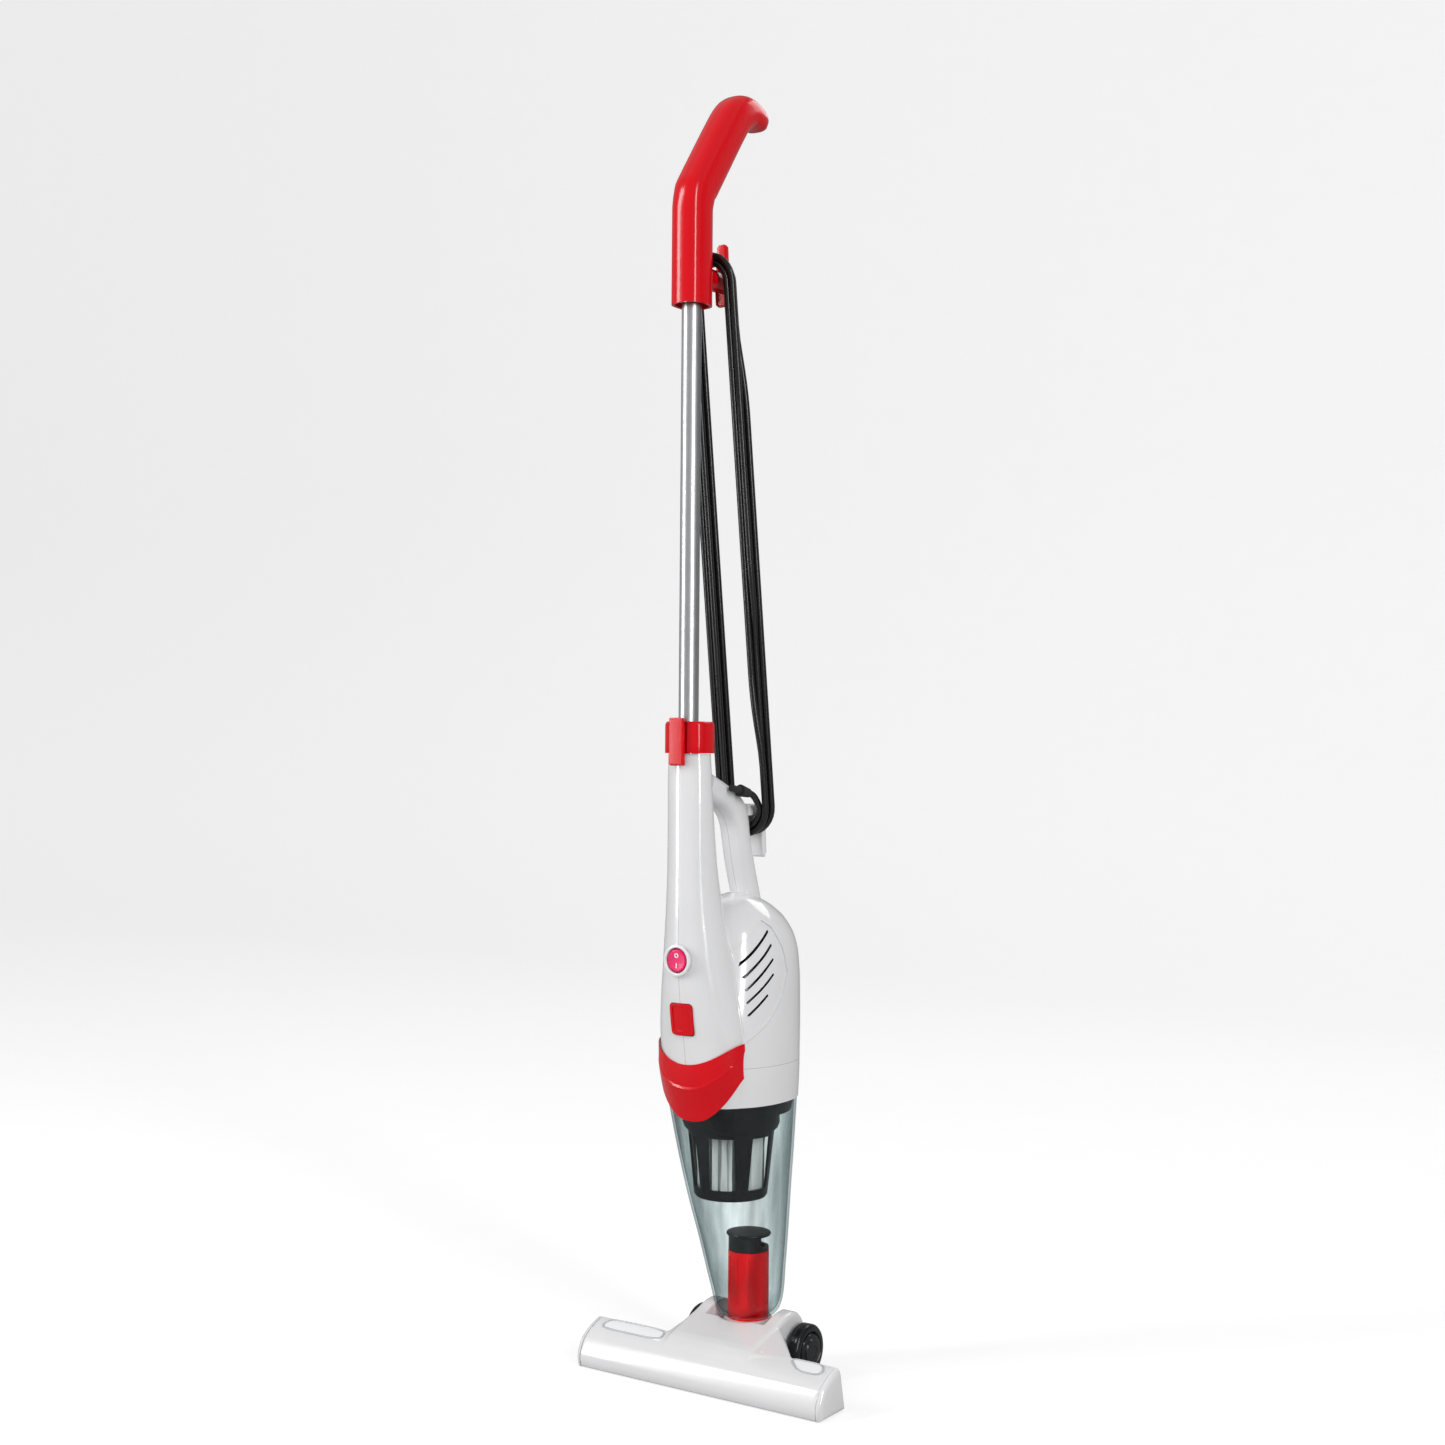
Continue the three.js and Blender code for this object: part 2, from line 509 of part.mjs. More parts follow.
// The glossy shield over the front of the joint between housing and cup.
function frontBadge() {
  const near = loft(podStations.map(([z, y, a, b]) => [z, y, a + 0.4, b + 0.4]).slice(0, 5), 24);
  const lower = [226, 39, 40, 28.6];
  const outer = loft([lower, ...podStations.slice(0, 5)].map(([z, y, a, b]) => [z, y, a + 2.4, b + 2.4]), 24);
  const inner = loft([lower, ...podStations.slice(0, 5)].map(([z, y, a, b]) => [z, y, a + 0.4, b + 0.4]), 24);
  const shield = new THREE.Shape();
  shield.moveTo(-43.5, 299);
  shield.quadraticCurveTo(0, 260, 43.5, 299);
  shield.lineTo(44, 274);
  shield.quadraticCurveTo(36, 246, 14, 233);
  shield.quadraticCurveTo(0, 228, -14, 233);
  shield.quadraticCurveTo(-36, 246, -44, 274);
  const band = cut(outer, inner, near).intersect(frontSlab(shield, [-30, 30]));
  return band.subtract(loft(coreStations.slice(0, 3).map(([z, y, a, b]) => [z, y, a + 0.3, b + 0.3]), 28));
}

piece('front_badge', frontBadge(), 'red');

// ---- Switch, release button and latch -----------------------------------------------------------
const bezel = turned([[10.6, 0], [12, 0], [12, 4.2], [13.6, 5], [13.4, 6.6], [11.4, 7], [10.6, 6.2]], 0, 22);
const facingFront = new THREE.Matrix4().makeBasis(AXIS_X, AXIS_Z, AXIS_Y.clone().negate());
piece('switch_bezel', moved(bezel, facingFront.clone().setPosition(0, -8.6, SWITCH_Z)), 'white');
const rocker = turned([[0, 0], [9.8, 0], [10.1, 1.4], [9.9, 4.4], [8.6, 5.6], [0, 5]], 0, 20);
piece('power_switch', moved(rocker, facingFront.clone().setPosition(0, -9.4, SWITCH_Z)), 'pink');
piece('switch_body', box([-7.5, 7.5], [-7.6, 9], [SWITCH_Z - 9, SWITCH_Z + 9]), 'black');

function releaseButton() {
  const key = frontSlab(releaseOutline, [-10.2, 0], 1);
  const stem = box([-4, 4], [-1, 7.4], [BUTTON_Z - 12, BUTTON_Z - 4]);
  return join(key, stem);
}

piece('release_button', releaseButton(), 'red');
const latchOutline = outline([[7.9, 313.4], [15, 313.4], [16, 268], [16, 253.5], [19.3, 253.5], [19.3, 251.8],
  [16, 249.6], [13.6, 249.6], [13.6, 268], [12, 285], [12, 310.4], [7.9, 310.4]]);
piece('cup_latch', sideSlab(latchOutline, [-7, 7]), 'black');

// ---- Motor and fan ----------------------------------------------------------------------------
const bulkhead = loft([[251, 71.8, 46.8, 58.2], [254, 71.8, 46.8, 58.2]], 28)
  .subtract(rod([0, MOTOR_Y, 240], [0, MOTOR_Y, 260], 16, 24))
  .subtract(box([-9, 9], [0, 22], [240, 260]));
piece('motor_bulkhead', bulkhead, 'black');
piece('fan_shroud', turned([[12, 260], [36, 262], [37.5, 265], [37.5, 283.5], [35.6, 283.5], [35.6, 266],
  [34.5, 264], [12, 262]], MOTOR_Y, 24), 'black');
piece('impeller', turned([[3.4, 267], [12, 267], [33, 271], [33, 276], [12, 278], [3.4, 278]], MOTOR_Y, 22), 'satin');
piece('motor_shaft', rod([0, MOTOR_Y, 265], [0, MOTOR_Y, 372], 3, 14), 'steel');

// The motor can is a thick tube with a floor, and a bar across its open top holds the upper bearing.
function motorCan() {
  const outside = MOTOR_R - 0.1;
  const inside = MOTOR_R - 3;
  const can = turned([[3.4, 288], [30, 288], [outside, 292], [outside, 358], [inside, 358], [inside, 293],
    [3.4, 293]], MOTOR_Y, 24);
  const bar = box([-inside - 1, inside + 1], [MOTOR_Y - 5, MOTOR_Y + 5], [353, 358]);
  return join(can, bar).subtract(rod([0, MOTOR_Y, 340], [0, MOTOR_Y, 370], 3.4, 14));
}

piece('motor_can', motorCan(), 'steel');
piece('motor_mount', turned([[33.3, 300], [37.5, 300], [37.5, 309], [33.3, 309]], MOTOR_Y, 24), 'rubber');
for (const [side, name] of [[1, 'right'], [-1, 'left']]) {
  const pad = box([37, 42.5], [58, 88], [318, 362]);
  piece(`exhaust_foam_${name}`, side > 0 ? pad : mirrored(pad), 'foam');
}

// ---- Collar and stick tube ------------------------------------------------------------------------
const latchTabOutline = outline([[-19, 532], [-16.6, 530.8], [-14.2, 530.8], [-14.2, 562], [-16.2, 571], [-18.6, 571]]);

function collar() {
  const band = loft([[COLLAR_LOW, 2, 20.2, 16], [COLLAR_TOP - 2, 2, 20.2, 16], [COLLAR_TOP, 2, 18.6, 14.6]], 28, 3);
  const bore = rod([0, 0, 530], [0, 0, 580], TUBE_R + GAP, 24);
  const tabSeat = box([-7.8, 7.8], [-30, -11.2], [530, 580]);
  return cut(band, bore, tabSeat);
}

piece('collar', collar(), 'red');
piece('latch_tab', sideSlab(latchTabOutline, [-7.4, 7.4], 0.8, 0, 1), 'red');
piece('stick_tube', turned([[TUBE_R - 1.2, TUBE_LOW], [TUBE_R, TUBE_LOW], [TUBE_R, TUBE_TOP],
  [TUBE_R - 1.2, TUBE_TOP]], 0, 24), 'satin');

// ---- Handle: two half shells round the top of the tube ----------------------------------------------
// Stations up the grip: depth, height, lean from upright in degrees, half width, half thickness.
const gripStations = [[0, GRIP_LOW, 0, GRIP_HALF, 17], [0, 1000, 0, GRIP_HALF, 17], [3, 1016, 20, GRIP_HALF, 17.5],
  [8, 1024, 30, GRIP_HALF, 17.7], [19, 1040, 34.5, GRIP_HALF, 17.7], [50, 1084.5, 35, GRIP_HALF, 17.5],
  [60, 1096.5, 46, GRIP_HALF, 17], [70, 1103, 63, 15.2, 15.6], [80, 1105.3, 84, 14.6, 13], [91, 1104, 100, 13.4, 10.7],
  [99, 1101.6, 112, 11.4, 8.6], [103.5, 1099.6, 118, 7.5, 5]];

const handleScrews = [[2, 1014], [52, 1088]];

function handle() {
  const outside = swept(gripStations);
  const inside = swept(gripStations.slice(0, -1).map(([y, z, lean, a, b]) => [y, z, lean, a - WALL, b - WALL]));
  const sockets = box([-30, 30], [-30, 30], [GRIP_LOW, GRIP_LOW + 14]).intersect(outside);
  const bosses = handleScrews.map(([y, z]) => rod([-GRIP_HALF + 1, y, z], [GRIP_HALF - 1, y, z], 4.4, 10));
  const holes = handleScrews.flatMap(([y, z]) => [
    rod([-30, y, z], [-GRIP_HALF + 2.3, y, z], 3.4, 10), rod([-20, y, z], [8, y, z], 1.8, 8)]);
  const tube = rod([0, 0, GRIP_LOW - 9], [0, 0, TUBE_TOP + GAP], TUBE_R + GAP, 28);
  const pivot = rod([0, 0, 948], [0, 40, 948], 3.1, 14);
  return cut(join(outside.subtract(inside), sockets, ...bosses), tube, ...holes, pivot);
}

const wholeHandle = handle();
piece('handle_right', wholeHandle.subtract(box([-40, GAP / 2], [-40, 140], [900, 1130])), 'red');
piece('handle_left', wholeHandle.subtract(box([-GAP / 2, 40], [-40, 140], [900, 1130])), 'red');
handleScrews.forEach(([y, z], i) => {
  const screw = join(rod([-GRIP_HALF + 2, y, z], [-GRIP_HALF + 0.4, y, z], 3, 10),
    rod([-GRIP_HALF + 1, y, z], [5, y, z], 1.5, 8));
  piece(`handle_screw_${i + 1}`, screw, 'steel');
});

// ---- Cord hooks -------------------------------------------------------------------------------------
const HOOK_Z = 948;
const HOOK_FRONT = 17 + GAP, HOOK_BACK = 43;

function upperHook() {
  const hub = rod([0, HOOK_FRONT, HOOK_Z], [0, HOOK_BACK + 2, HOOK_Z], 9, 24);
  const prong = frontSlab(outline([[-6.5, 943], [-4.6, 980], [-2.5, 982], [2.5, 982], [4.6, 980], [6.5, 943]]),
    [HOOK_BACK, HOOK_BACK + 5.5], 1.2);
  const lip = frontSlab(outline([[-7, 952], [7, 952], [5.6, 930], [3.6, 928], [-3.6, 928], [-5.6, 930]]),
    [HOOK_BACK, HOOK_BACK + 5.5], 1.2);
  return cut(join(hub, prong, lip), rod([0, 0, HOOK_Z], [0, 80, HOOK_Z], 2.9, 14));
}

piece('upper_cord_hook', upperHook(), 'red');
piece('hook_pin', join(rod([0, 10.2, HOOK_Z], [0, HOOK_BACK + 6, HOOK_Z], 2.5, 12),
  rod([0, HOOK_BACK + 5.8, HOOK_Z], [0, HOOK_BACK + 7.4, HOOK_Z], 4.4, 14)), 'steel');

function lowerHook() {
  const post = sideSlab(outline([[80, 487], [80, 497], [100, 497], [106, 492], [109, 455], [106.5, 450], [103.5, 451],
    [101.6, 462], [100.4, 487]]), [-9.5, 9.5], 1.5);
  return post;
}

piece('lower_cord_hook', lowerHook(), 'white');

// ---- Cord: strain relief, lead, hank, tail and plug --------------------------------------------------
// The route of the cord from the relief's mouth to the hank, and from the hank to the plug.
const leadRoute = [[18.5, 66.3, 506.8], [18.9, 70.6, 505.5], [19.3, 74.8, 503.3], [19.7, 78.4, 500.5], [20, 81.6, 497]];
const tailRoute = [[-24, 42.5, 868], [-28, 45, 882], [-32, 47.6, 896], [-35, 49.4, 909], [-36, 50, 920.6]];

function tube(route, radius, sides) {
  const ring = new THREE.Shape();
  for (let i = 0; i <= sides; i += 1) {
    const turn = (2 * Math.PI * i) / sides;
    const point = [radius * Math.cos(turn), radius * Math.sin(turn)];
    if (i === 0) ring.moveTo(...point);
    else ring.lineTo(...point);
  }
  const path = new THREE.CatmullRomCurve3(route.map((p) => new THREE.Vector3(...p)));
  return solid(new THREE.ExtrudeGeometry(ring, { steps: route.length, extrudePath: path, bevelEnabled: false }));
}

function stadium(radius, half) {
  const shape = new THREE.Shape();
  shape.absarc(0, half, radius, 0, Math.PI);
  shape.absarc(0, -half, radius, Math.PI, 2 * Math.PI);
  return shape;
}

function hank(extra = 0) {
  const rise = HANK_TOP_Z - HANK_LOW_Z;
  const half = (rise / 2) * Math.hypot(1, HANK_LEAN);
  const shape = stadium(HANK_R + HANK_HALF_W + extra, half);
  shape.holes.push(stadium(HANK_R - HANK_HALF_W - extra, half));
  const depth = HANK_DEPTH + 2 * extra;
  const geometry = new THREE.ExtrudeGeometry(shape, { depth, curveSegments: 10, bevelEnabled: false });
  geometry.translate(0, 0, -depth / 2);
  geometry.applyMatrix4(FRONT_PLANE);
  geometry.rotateX(Math.atan(HANK_LEAN));
  geometry.translate(0, HANK_LOW_Y - (HANK_LEAN * rise) / 2, (HANK_LOW_Z + HANK_TOP_Z) / 2);
  return solid(geometry);
}

function strainRelief() {
  const along = (part) => RELIEF_ROOT.map((from, i) => from + part * (RELIEF_TIP[i] - from));
  const stalk = rod(along(0.06), RELIEF_TIP, 3.1, 14);
  const boot = rod(along(0.5), along(0.95), 5.4, 14, 3.9);
  return join(stalk, boot);
}

piece('strain_relief', strainRelief(), 'rubber');
piece('cord_lead', tube(leadRoute, CORD_D / 2, 10).subtract(hank(GAP)), 'cord');
piece('cord_hank', hank(), 'cord');
piece('cord_tail', tube(tailRoute, CORD_D / 2, 10).subtract(hank(GAP)), 'cord');

const plugBody = loft([[921.6, 50, 3.8, 3.8], [936, 50, 5.2, 5.2], [938, 50, 9, 7], [944, 50, 12.6, 9],
  [958, 50, 12.6, 9], [961, 50, 11.6, 8.4]], 20, 3);
piece('plug', moved(plugBody, new THREE.Matrix4().makeTranslation(-36, 0, 0)), 'cord');
for (const [side, name] of [[1, 'right'], [-1, 'left']]) {
  const x = -36 + side * 6.35;
  piece(`plug_blade_${name}`, box([x - 0.75, x + 0.75], [46.8, 53.2], [961 + GAP, 979]), 'brass');
}

export default cleaner;
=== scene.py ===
import math

import bmesh
import bpy
import numpy as np
from mathutils import Matrix, Vector


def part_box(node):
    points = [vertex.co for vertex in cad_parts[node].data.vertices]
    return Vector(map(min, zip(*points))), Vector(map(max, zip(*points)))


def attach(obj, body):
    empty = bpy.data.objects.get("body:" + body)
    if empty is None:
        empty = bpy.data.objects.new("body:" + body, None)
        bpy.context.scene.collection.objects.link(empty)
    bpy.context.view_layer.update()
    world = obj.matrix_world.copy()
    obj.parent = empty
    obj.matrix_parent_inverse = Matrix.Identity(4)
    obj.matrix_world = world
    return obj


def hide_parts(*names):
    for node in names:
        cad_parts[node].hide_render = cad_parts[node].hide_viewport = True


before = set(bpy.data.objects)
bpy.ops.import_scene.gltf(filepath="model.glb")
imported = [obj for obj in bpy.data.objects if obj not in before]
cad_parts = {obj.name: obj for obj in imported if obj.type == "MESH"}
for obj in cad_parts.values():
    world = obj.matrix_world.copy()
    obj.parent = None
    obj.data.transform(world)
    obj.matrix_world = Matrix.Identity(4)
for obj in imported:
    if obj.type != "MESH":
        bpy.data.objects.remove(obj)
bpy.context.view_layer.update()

# ---- Camera ---------------------------------------------------------------------------------
# A standing eye in front of the cleaner and to its right, a little under half its height,
# looking very slightly up. The small roll keeps the stick as upright as it stands.
MIDDLE = 58.45          # depth of the stick's axis behind the frame's origin, in mm


def at(x, y, z):
    """A point given in mm from the stick's axis and the floor, in the frame's metres."""
    return Vector((x, y - MIDDLE, z)) / 1000


camera_data = bpy.data.cameras.new("camera")
camera_data.lens = 47.52
camera_data.sensor_width = 36
camera_data.clip_end = 30
camera = bpy.data.objects.new("camera", camera_data)
bpy.context.scene.collection.objects.link(camera)
EYE = (0.9302, -1.37135, 0.5411)
GAZE = (-0.5634, 0.826, 0.0164)
CAMERA_ROLL = 0.0076
looking = Vector(GAZE).to_track_quat("-Z", "Y").to_matrix().to_4x4()
camera.matrix_world = (Matrix.Translation(EYE) @ looking
                       @ Matrix.Rotation(CAMERA_ROLL, 4, "Z"))
bpy.context.scene.camera = camera

# ---- Cord -----------------------------------------------------------------------------------
# Round two-core flexible mains cord, black and slightly glossy. It leaves the relief in the
# grip's bend, winds four and a half turns over the two hooks, and ends at the plug.
CORD_R = 2.9
HANK_R = 20.5
LOW_FOLD, TOP_FOLD = 495, 945
TAIL_Z = 868            # height where the last run leaves the hank for the plug
LOW_DEPTH = 88.9        # depth of the hank's middle at the lower fold
LEAN = 0.129            # depth lost per mm of height
UPRIGHT = 1 / math.hypot(1, LEAN)
FOLD_STEPS = 16         # straight pieces in a half turn round a hook
SHIFT = 80              # height over which a run moves to its next place in the hank


def blended(tree, low, high, factor):
    mix = tree.nodes.new("ShaderNodeMix")
    mix.data_type = "RGBA"
    mix.inputs["A"].default_value = (*low, 1)
    mix.inputs["B"].default_value = (*high, 1)
    tree.links.new(factor, mix.inputs["Factor"])
    return mix.outputs["Result"]


def noise(tree, scale, detail=3, stretch=(1, 1, 1)):
    """Soft clouds fixed to the piece, squeezed along any axis by stretch."""
    place = tree.nodes.new("ShaderNodeTexCoord")
    squeeze = tree.nodes.new("ShaderNodeMapping")
    squeeze.inputs["Scale"].default_value = stretch
    cloud = tree.nodes.new("ShaderNodeTexNoise")
    cloud.inputs["Scale"].default_value = scale
    cloud.inputs["Detail"].default_value = detail
    tree.links.new(place.outputs["Object"], squeeze.inputs["Vector"])
    tree.links.new(squeeze.outputs["Vector"], cloud.inputs["Vector"])
    return cloud.outputs["Fac"]


def mapped(tree, value, low, high, start=0.0, end=1.0):
    span = tree.nodes.new("ShaderNodeMapRange")
    for socket, number in (("From Min", start), ("From Max", end), ("To Min", low), ("To Max", high)):
        span.inputs[socket].default_value = number
    tree.links.new(value, span.inputs["Value"])
    return span.outputs["Result"]


def seam_mask(tree, axis, place_mm, half_mm):
    """1 on a thin line square to one axis of the piece, falling to 0 beside it."""
    where = tree.nodes.new("ShaderNodeTexCoord")
    parts = tree.nodes.new("ShaderNodeSeparateXYZ")
    tree.links.new(where.outputs["Object"], parts.inputs["Vector"])
    off = tree.nodes.new("ShaderNodeMath")
    off.operation = "SUBTRACT"
    off.inputs[1].default_value = place_mm / 1000
    tree.links.new(parts.outputs[axis], off.inputs[0])
    away = tree.nodes.new("ShaderNodeMath")
    away.operation = "ABSOLUTE"
    tree.links.new(off.outputs[0], away.inputs[0])
    return mapped(tree, away.outputs[0], 1, 0, 0, half_mm / 1000)


def finish(name, colour, roughness, coat=0.0, metal=0.0, grain=0.03, grain_scale=1400,
           stretch=(1, 1, 1), sheen=0.0, ior=1.5, seams=()):
    """A moulded, drawn or woven surface: uneven tone and gloss, a fine grain, and its seams."""
    material = bpy.data.materials.new(name)
    material.use_nodes = True
    tree = material.node_tree
    shader = tree.nodes["Principled BSDF"]
    shader.inputs["Metallic"].default_value = metal
    shader.inputs["Coat Weight"].default_value = coat
    shader.inputs["Coat Roughness"].default_value = 0.06
    shader.inputs["Sheen Weight"].default_value = sheen
    shader.inputs["IOR"].default_value = ior
    tone = blended(tree, [c * 0.93 for c in colour], colour, noise(tree, 18))
    gloss = mapped(tree, noise(tree, 60), roughness * 0.85, roughness * 1.2)
    tree.links.new(gloss, shader.inputs["Roughness"])
    height = noise(tree, grain_scale, 4, stretch)
    if seams:
        line = None
        for axis, place_mm, half_mm in seams:
            one = seam_mask(tree, axis, place_mm, half_mm)
            if line is not None:
                both = tree.nodes.new("ShaderNodeMath")
                both.operation = "MAXIMUM"
                tree.links.new(line, both.inputs[0])
                tree.links.new(one, both.inputs[1])
                one = both.outputs[0]
            line = one
        shade = tree.nodes.new("ShaderNodeMix")
        shade.data_type = "RGBA"
        shade.inputs["B"].default_value = (*[c * 0.35 for c in colour], 1)
        tree.links.new(tone, shade.inputs["A"])
        tree.links.new(line, shade.inputs["Factor"])
        tone = shade.outputs["Result"]
    tree.links.new(tone, shader.inputs["Base Color"])
    bump = tree.nodes.new("ShaderNodeBump")
    bump.inputs["Strength"].default_value = grain
    bump.inputs["Distance"].default_value = 0.0004
    tree.links.new(height, bump.inputs["Height"])
    tree.links.new(bump.outputs["Normal"], shader.inputs["Normal"])
    return material


def cord_route():
    """Centreline of the cord, in mm: relief, five passes of the lower fold, then the plug."""
    slots = [(-2.9, -5.03), (2.9, -5.03), (0, 0), (-2.9, 5.03), (2.9, 5.03)]
    bulges = [(0, -1.0), (0.95, -0.2), (-0.95, 0.2), (0, 1.0)]
    windows = [570, 670, 770, 870]

    def on_hank(x, z, back):
        depth = LOW_DEPTH - LEAN * (z - LOW_FOLD) + back * UPRIGHT
        return (x, depth, z + back * LEAN * UPRIGHT)

    route = [(18.5, 66.3, 506.8), (18.6, 68.6, 506.3), (18.6, 70.9, 505.4), (18.4, 74.6, 503.2),
             (18.0, 78.2, 500.2), (17.7, 81.2, 497.4)]
    for turn, (out, back) in enumerate(slots):
        radius = HANK_R + out
        for i in range(FOLD_STEPS + 1):
            angle = math.pi * i / FOLD_STEPS
            z = LOW_FOLD - radius * math.sin(angle) * UPRIGHT
            route.append(on_hank(radius * math.cos(angle), z, back))
        last = turn == len(slots) - 1
        top = TAIL_Z - 8 if last else TOP_FOLD - 20
        for z in np.linspace(LOW_FOLD + 20, top, 16):
            route.append(on_hank(-radius, z, back))
        if last:
            break
        for i in range(FOLD_STEPS + 1):
            angle = math.pi - math.pi * i / FOLD_STEPS
            z = TOP_FOLD + radius * math.sin(angle) * UPRIGHT
            route.append(on_hank(radius * math.cos(angle), z, back))
        (next_out, next_back), (push_out, push_back) = slots[turn + 1], bulges[turn]
        for z in np.linspace(TOP_FOLD - 12, LOW_FOLD + 12, 36):
            part = min(1, max(0, (windows[turn] + SHIFT / 2 - z) / SHIFT))
            ease = part * part * (3 - 2 * part)
            swell = math.sin(math.pi * ease)
            x = HANK_R + out + (next_out - out) * ease + push_out * swell
            route.append(on_hank(x, z, back + (next_back - back) * ease + push_back * swell))
    route += [(-23.8, 45.9, 869), (-25.2, 46.4, 877), (-27.2, 47.0, 884), (-29.6, 47.7, 891),
              (-31.9, 48.4, 898), (-33.8, 49.1, 905), (-35.2, 49.6, 911), (-35.9, 49.9, 916),
              (-36, 50, 921.4)]
    return route


jacket = finish("cord_jacket", (0.007, 0.007, 0.008), 0.26, coat=0.2, ior=1.4,
                grain=0.05, grain_scale=2200)
route = cord_route()
cord_curve = bpy.data.curves.new("cord", "CURVE")
cord_curve.dimensions = "3D"
cord_curve.bevel_depth = CORD_R / 1000
cord_curve.bevel_resolution = 5
line = cord_curve.splines.new("POLY")
line.points.add(len(route) - 1)
for point, place in zip(line.points, route):
    point.co = (*at(*place), 1)
line.use_smooth = True
cord = bpy.data.objects.new("cord", cord_curve)
bpy.context.scene.collection.objects.link(cord)
cord_curve.materials.append(jacket)
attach(cord, "hand_unit")
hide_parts("cord_lead", "cord_hank", "cord_tail")


# ---- Floor head -----------------------------------------------------------------------------
# Gloss white moulded shell: a round front roll, a deck that climbs to its back edge, and a
# hump over the neck that slopes away to the right. Two milky inlays in thin grey frames lie
# in the deck, and domed caps close the ends.
def linked(name, vertices, faces, materials=()):
    """A mesh object in the frame's metres, from points in mm."""
    mesh = bpy.data.meshes.new(name)
    mesh.from_pydata([at(*v) for v in vertices], [], faces)
    for material in materials:
        mesh.materials.append(material)
    obj = bpy.data.objects.new(name, mesh)
    bpy.context.scene.collection.objects.link(obj)
    tidy = bmesh.new()
    tidy.from_mesh(mesh)
    bmesh.ops.recalc_face_normals(tidy, faces=tidy.faces)
    tidy.to_mesh(mesh)
    tidy.free()
    return obj


def settled(obj):
    """Applies the modifiers, leaving a plain mesh."""
    graph = bpy.context.evaluated_depsgraph_get()
    mesh = bpy.data.meshes.new_from_object(obj.evaluated_get(graph))
    obj.modifiers.clear()
    obj.data = mesh
    return obj


def carved(obj, *steps):
    """The object after unions and cuts by other solids, which are used up."""
    for operation, tool in steps:
        step = obj.modifiers.new(operation, "BOOLEAN")
        step.operation = operation
        step.object = tool
        step.solver = "EXACT"
        step.material_mode = "TRANSFER"
    settled(obj)
    for _, tool in steps:
        bpy.data.objects.remove(tool)
    return obj


def shown(obj, body, replaces=(), crease=32):
    """Smooth shading with crisp creases, then its place on the frame."""
    for polygon in obj.data.polygons:
        polygon.use_smooth = True
    obj.data.set_sharp_from_angle(angle=math.radians(crease))
    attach(obj, body)
    if replaces:
        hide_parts(*replaces)
    return obj


def softened(node, material, edge=0.35):
    """A CAD piece that keeps its shape: smooth rounds, small moulded edges and its finish."""
    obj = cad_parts[node]
    obj.data.materials.clear()
    obj.data.materials.append(material)
    for polygon in obj.data.polygons:
        polygon.use_smooth = True
    weld = obj.modifiers.new("weld", "WELD")
    weld.merge_threshold = 0.00002
    if edge:
        flat = obj.modifiers.new("flat", "DECIMATE")
        flat.decimate_type = "DISSOLVE"
        flat.angle_limit = math.radians(1)
        round_edge = obj.modifiers.new("edge", "BEVEL")
        round_edge.width = edge / 1000
        round_edge.segments = 2
        round_edge.limit_method = "ANGLE"
        round_edge.angle_limit = math.radians(38)
        even = obj.modifiers.new("even", "WEIGHTED_NORMAL")
        even.weight = 60
    else:
        split = obj.modifiers.new("split", "EDGE_SPLIT")
        split.split_angle = math.radians(35)
    return obj


def slab(name, outline, x0, x1, materials=()):
    """A side outline of (depth, height) points, given a width."""
    n = len(outline)
    vertices = [(x, y, z) for x in (x0, x1) for y, z in outline]
    faces = [[i, (i + 1) % n, n + (i + 1) % n, n + i] for i in range(n)]
    return linked(name, vertices, faces + [list(range(n)), list(range(n, 2 * n))], materials)


def block(name, x, y, z, materials=()):
    outline = [(y[0], z[0]), (y[1], z[0]), (y[1], z[1]), (y[0], z[1])]
    return slab(name, outline, x[0], x[1], materials)


def wrapped(name, points):
    """The convex skin of a few points."""
    obj = linked(name, points, [])
    skin = bmesh.new()
    skin.from_mesh(obj.data)
    bmesh.ops.convex_hull(skin, input=skin.verts)
    skin.to_mesh(obj.data)
    skin.free()
    return obj


def bend(a, b, c, steps=16):
    """Points of a curve from a to c drawn towards b, without its first point."""
    return [tuple((1 - t) ** 2 * p + 2 * t * (1 - t) * q + t * t * r
                  for p, q, r in zip(a, b, c))
            for t in np.linspace(0, 1, steps + 1)[1:]]


def head_outline(inset=0):
    """A round front roll up to a crease, a deck that climbs to its back edge, a sloping back."""
    i = inset
    foot, crease, edge = (15 + i, 0.6), (20 + 0.9 * i, 25 - 0.7 * i), (44 - i, 37.5 - i)
    roll = bend(foot, (9.5 + i, 12), crease, 22)
    deck = bend(crease, (29 + 0.3 * i, 33 - i), edge, 14)
    back = bend(edge, (47 - i, 36.5 - i), (48 - i, 32.5), 8)
    return [foot] + roll + deck + back + [(55 - i, 0.6)]


def rounded_line(points, passes=2):
    """Cuts the corners off a closed outline, over and over."""
    for _ in range(passes):
        shorter = []
        for a, b in zip(points, points[1:] + points[:1]):
            shorter.append(tuple(0.82 * p + 0.18 * q for p, q in zip(a, b)))
            shorter.append(tuple(0.18 * p + 0.82 * q for p, q in zip(a, b)))
        points = shorter
    return points


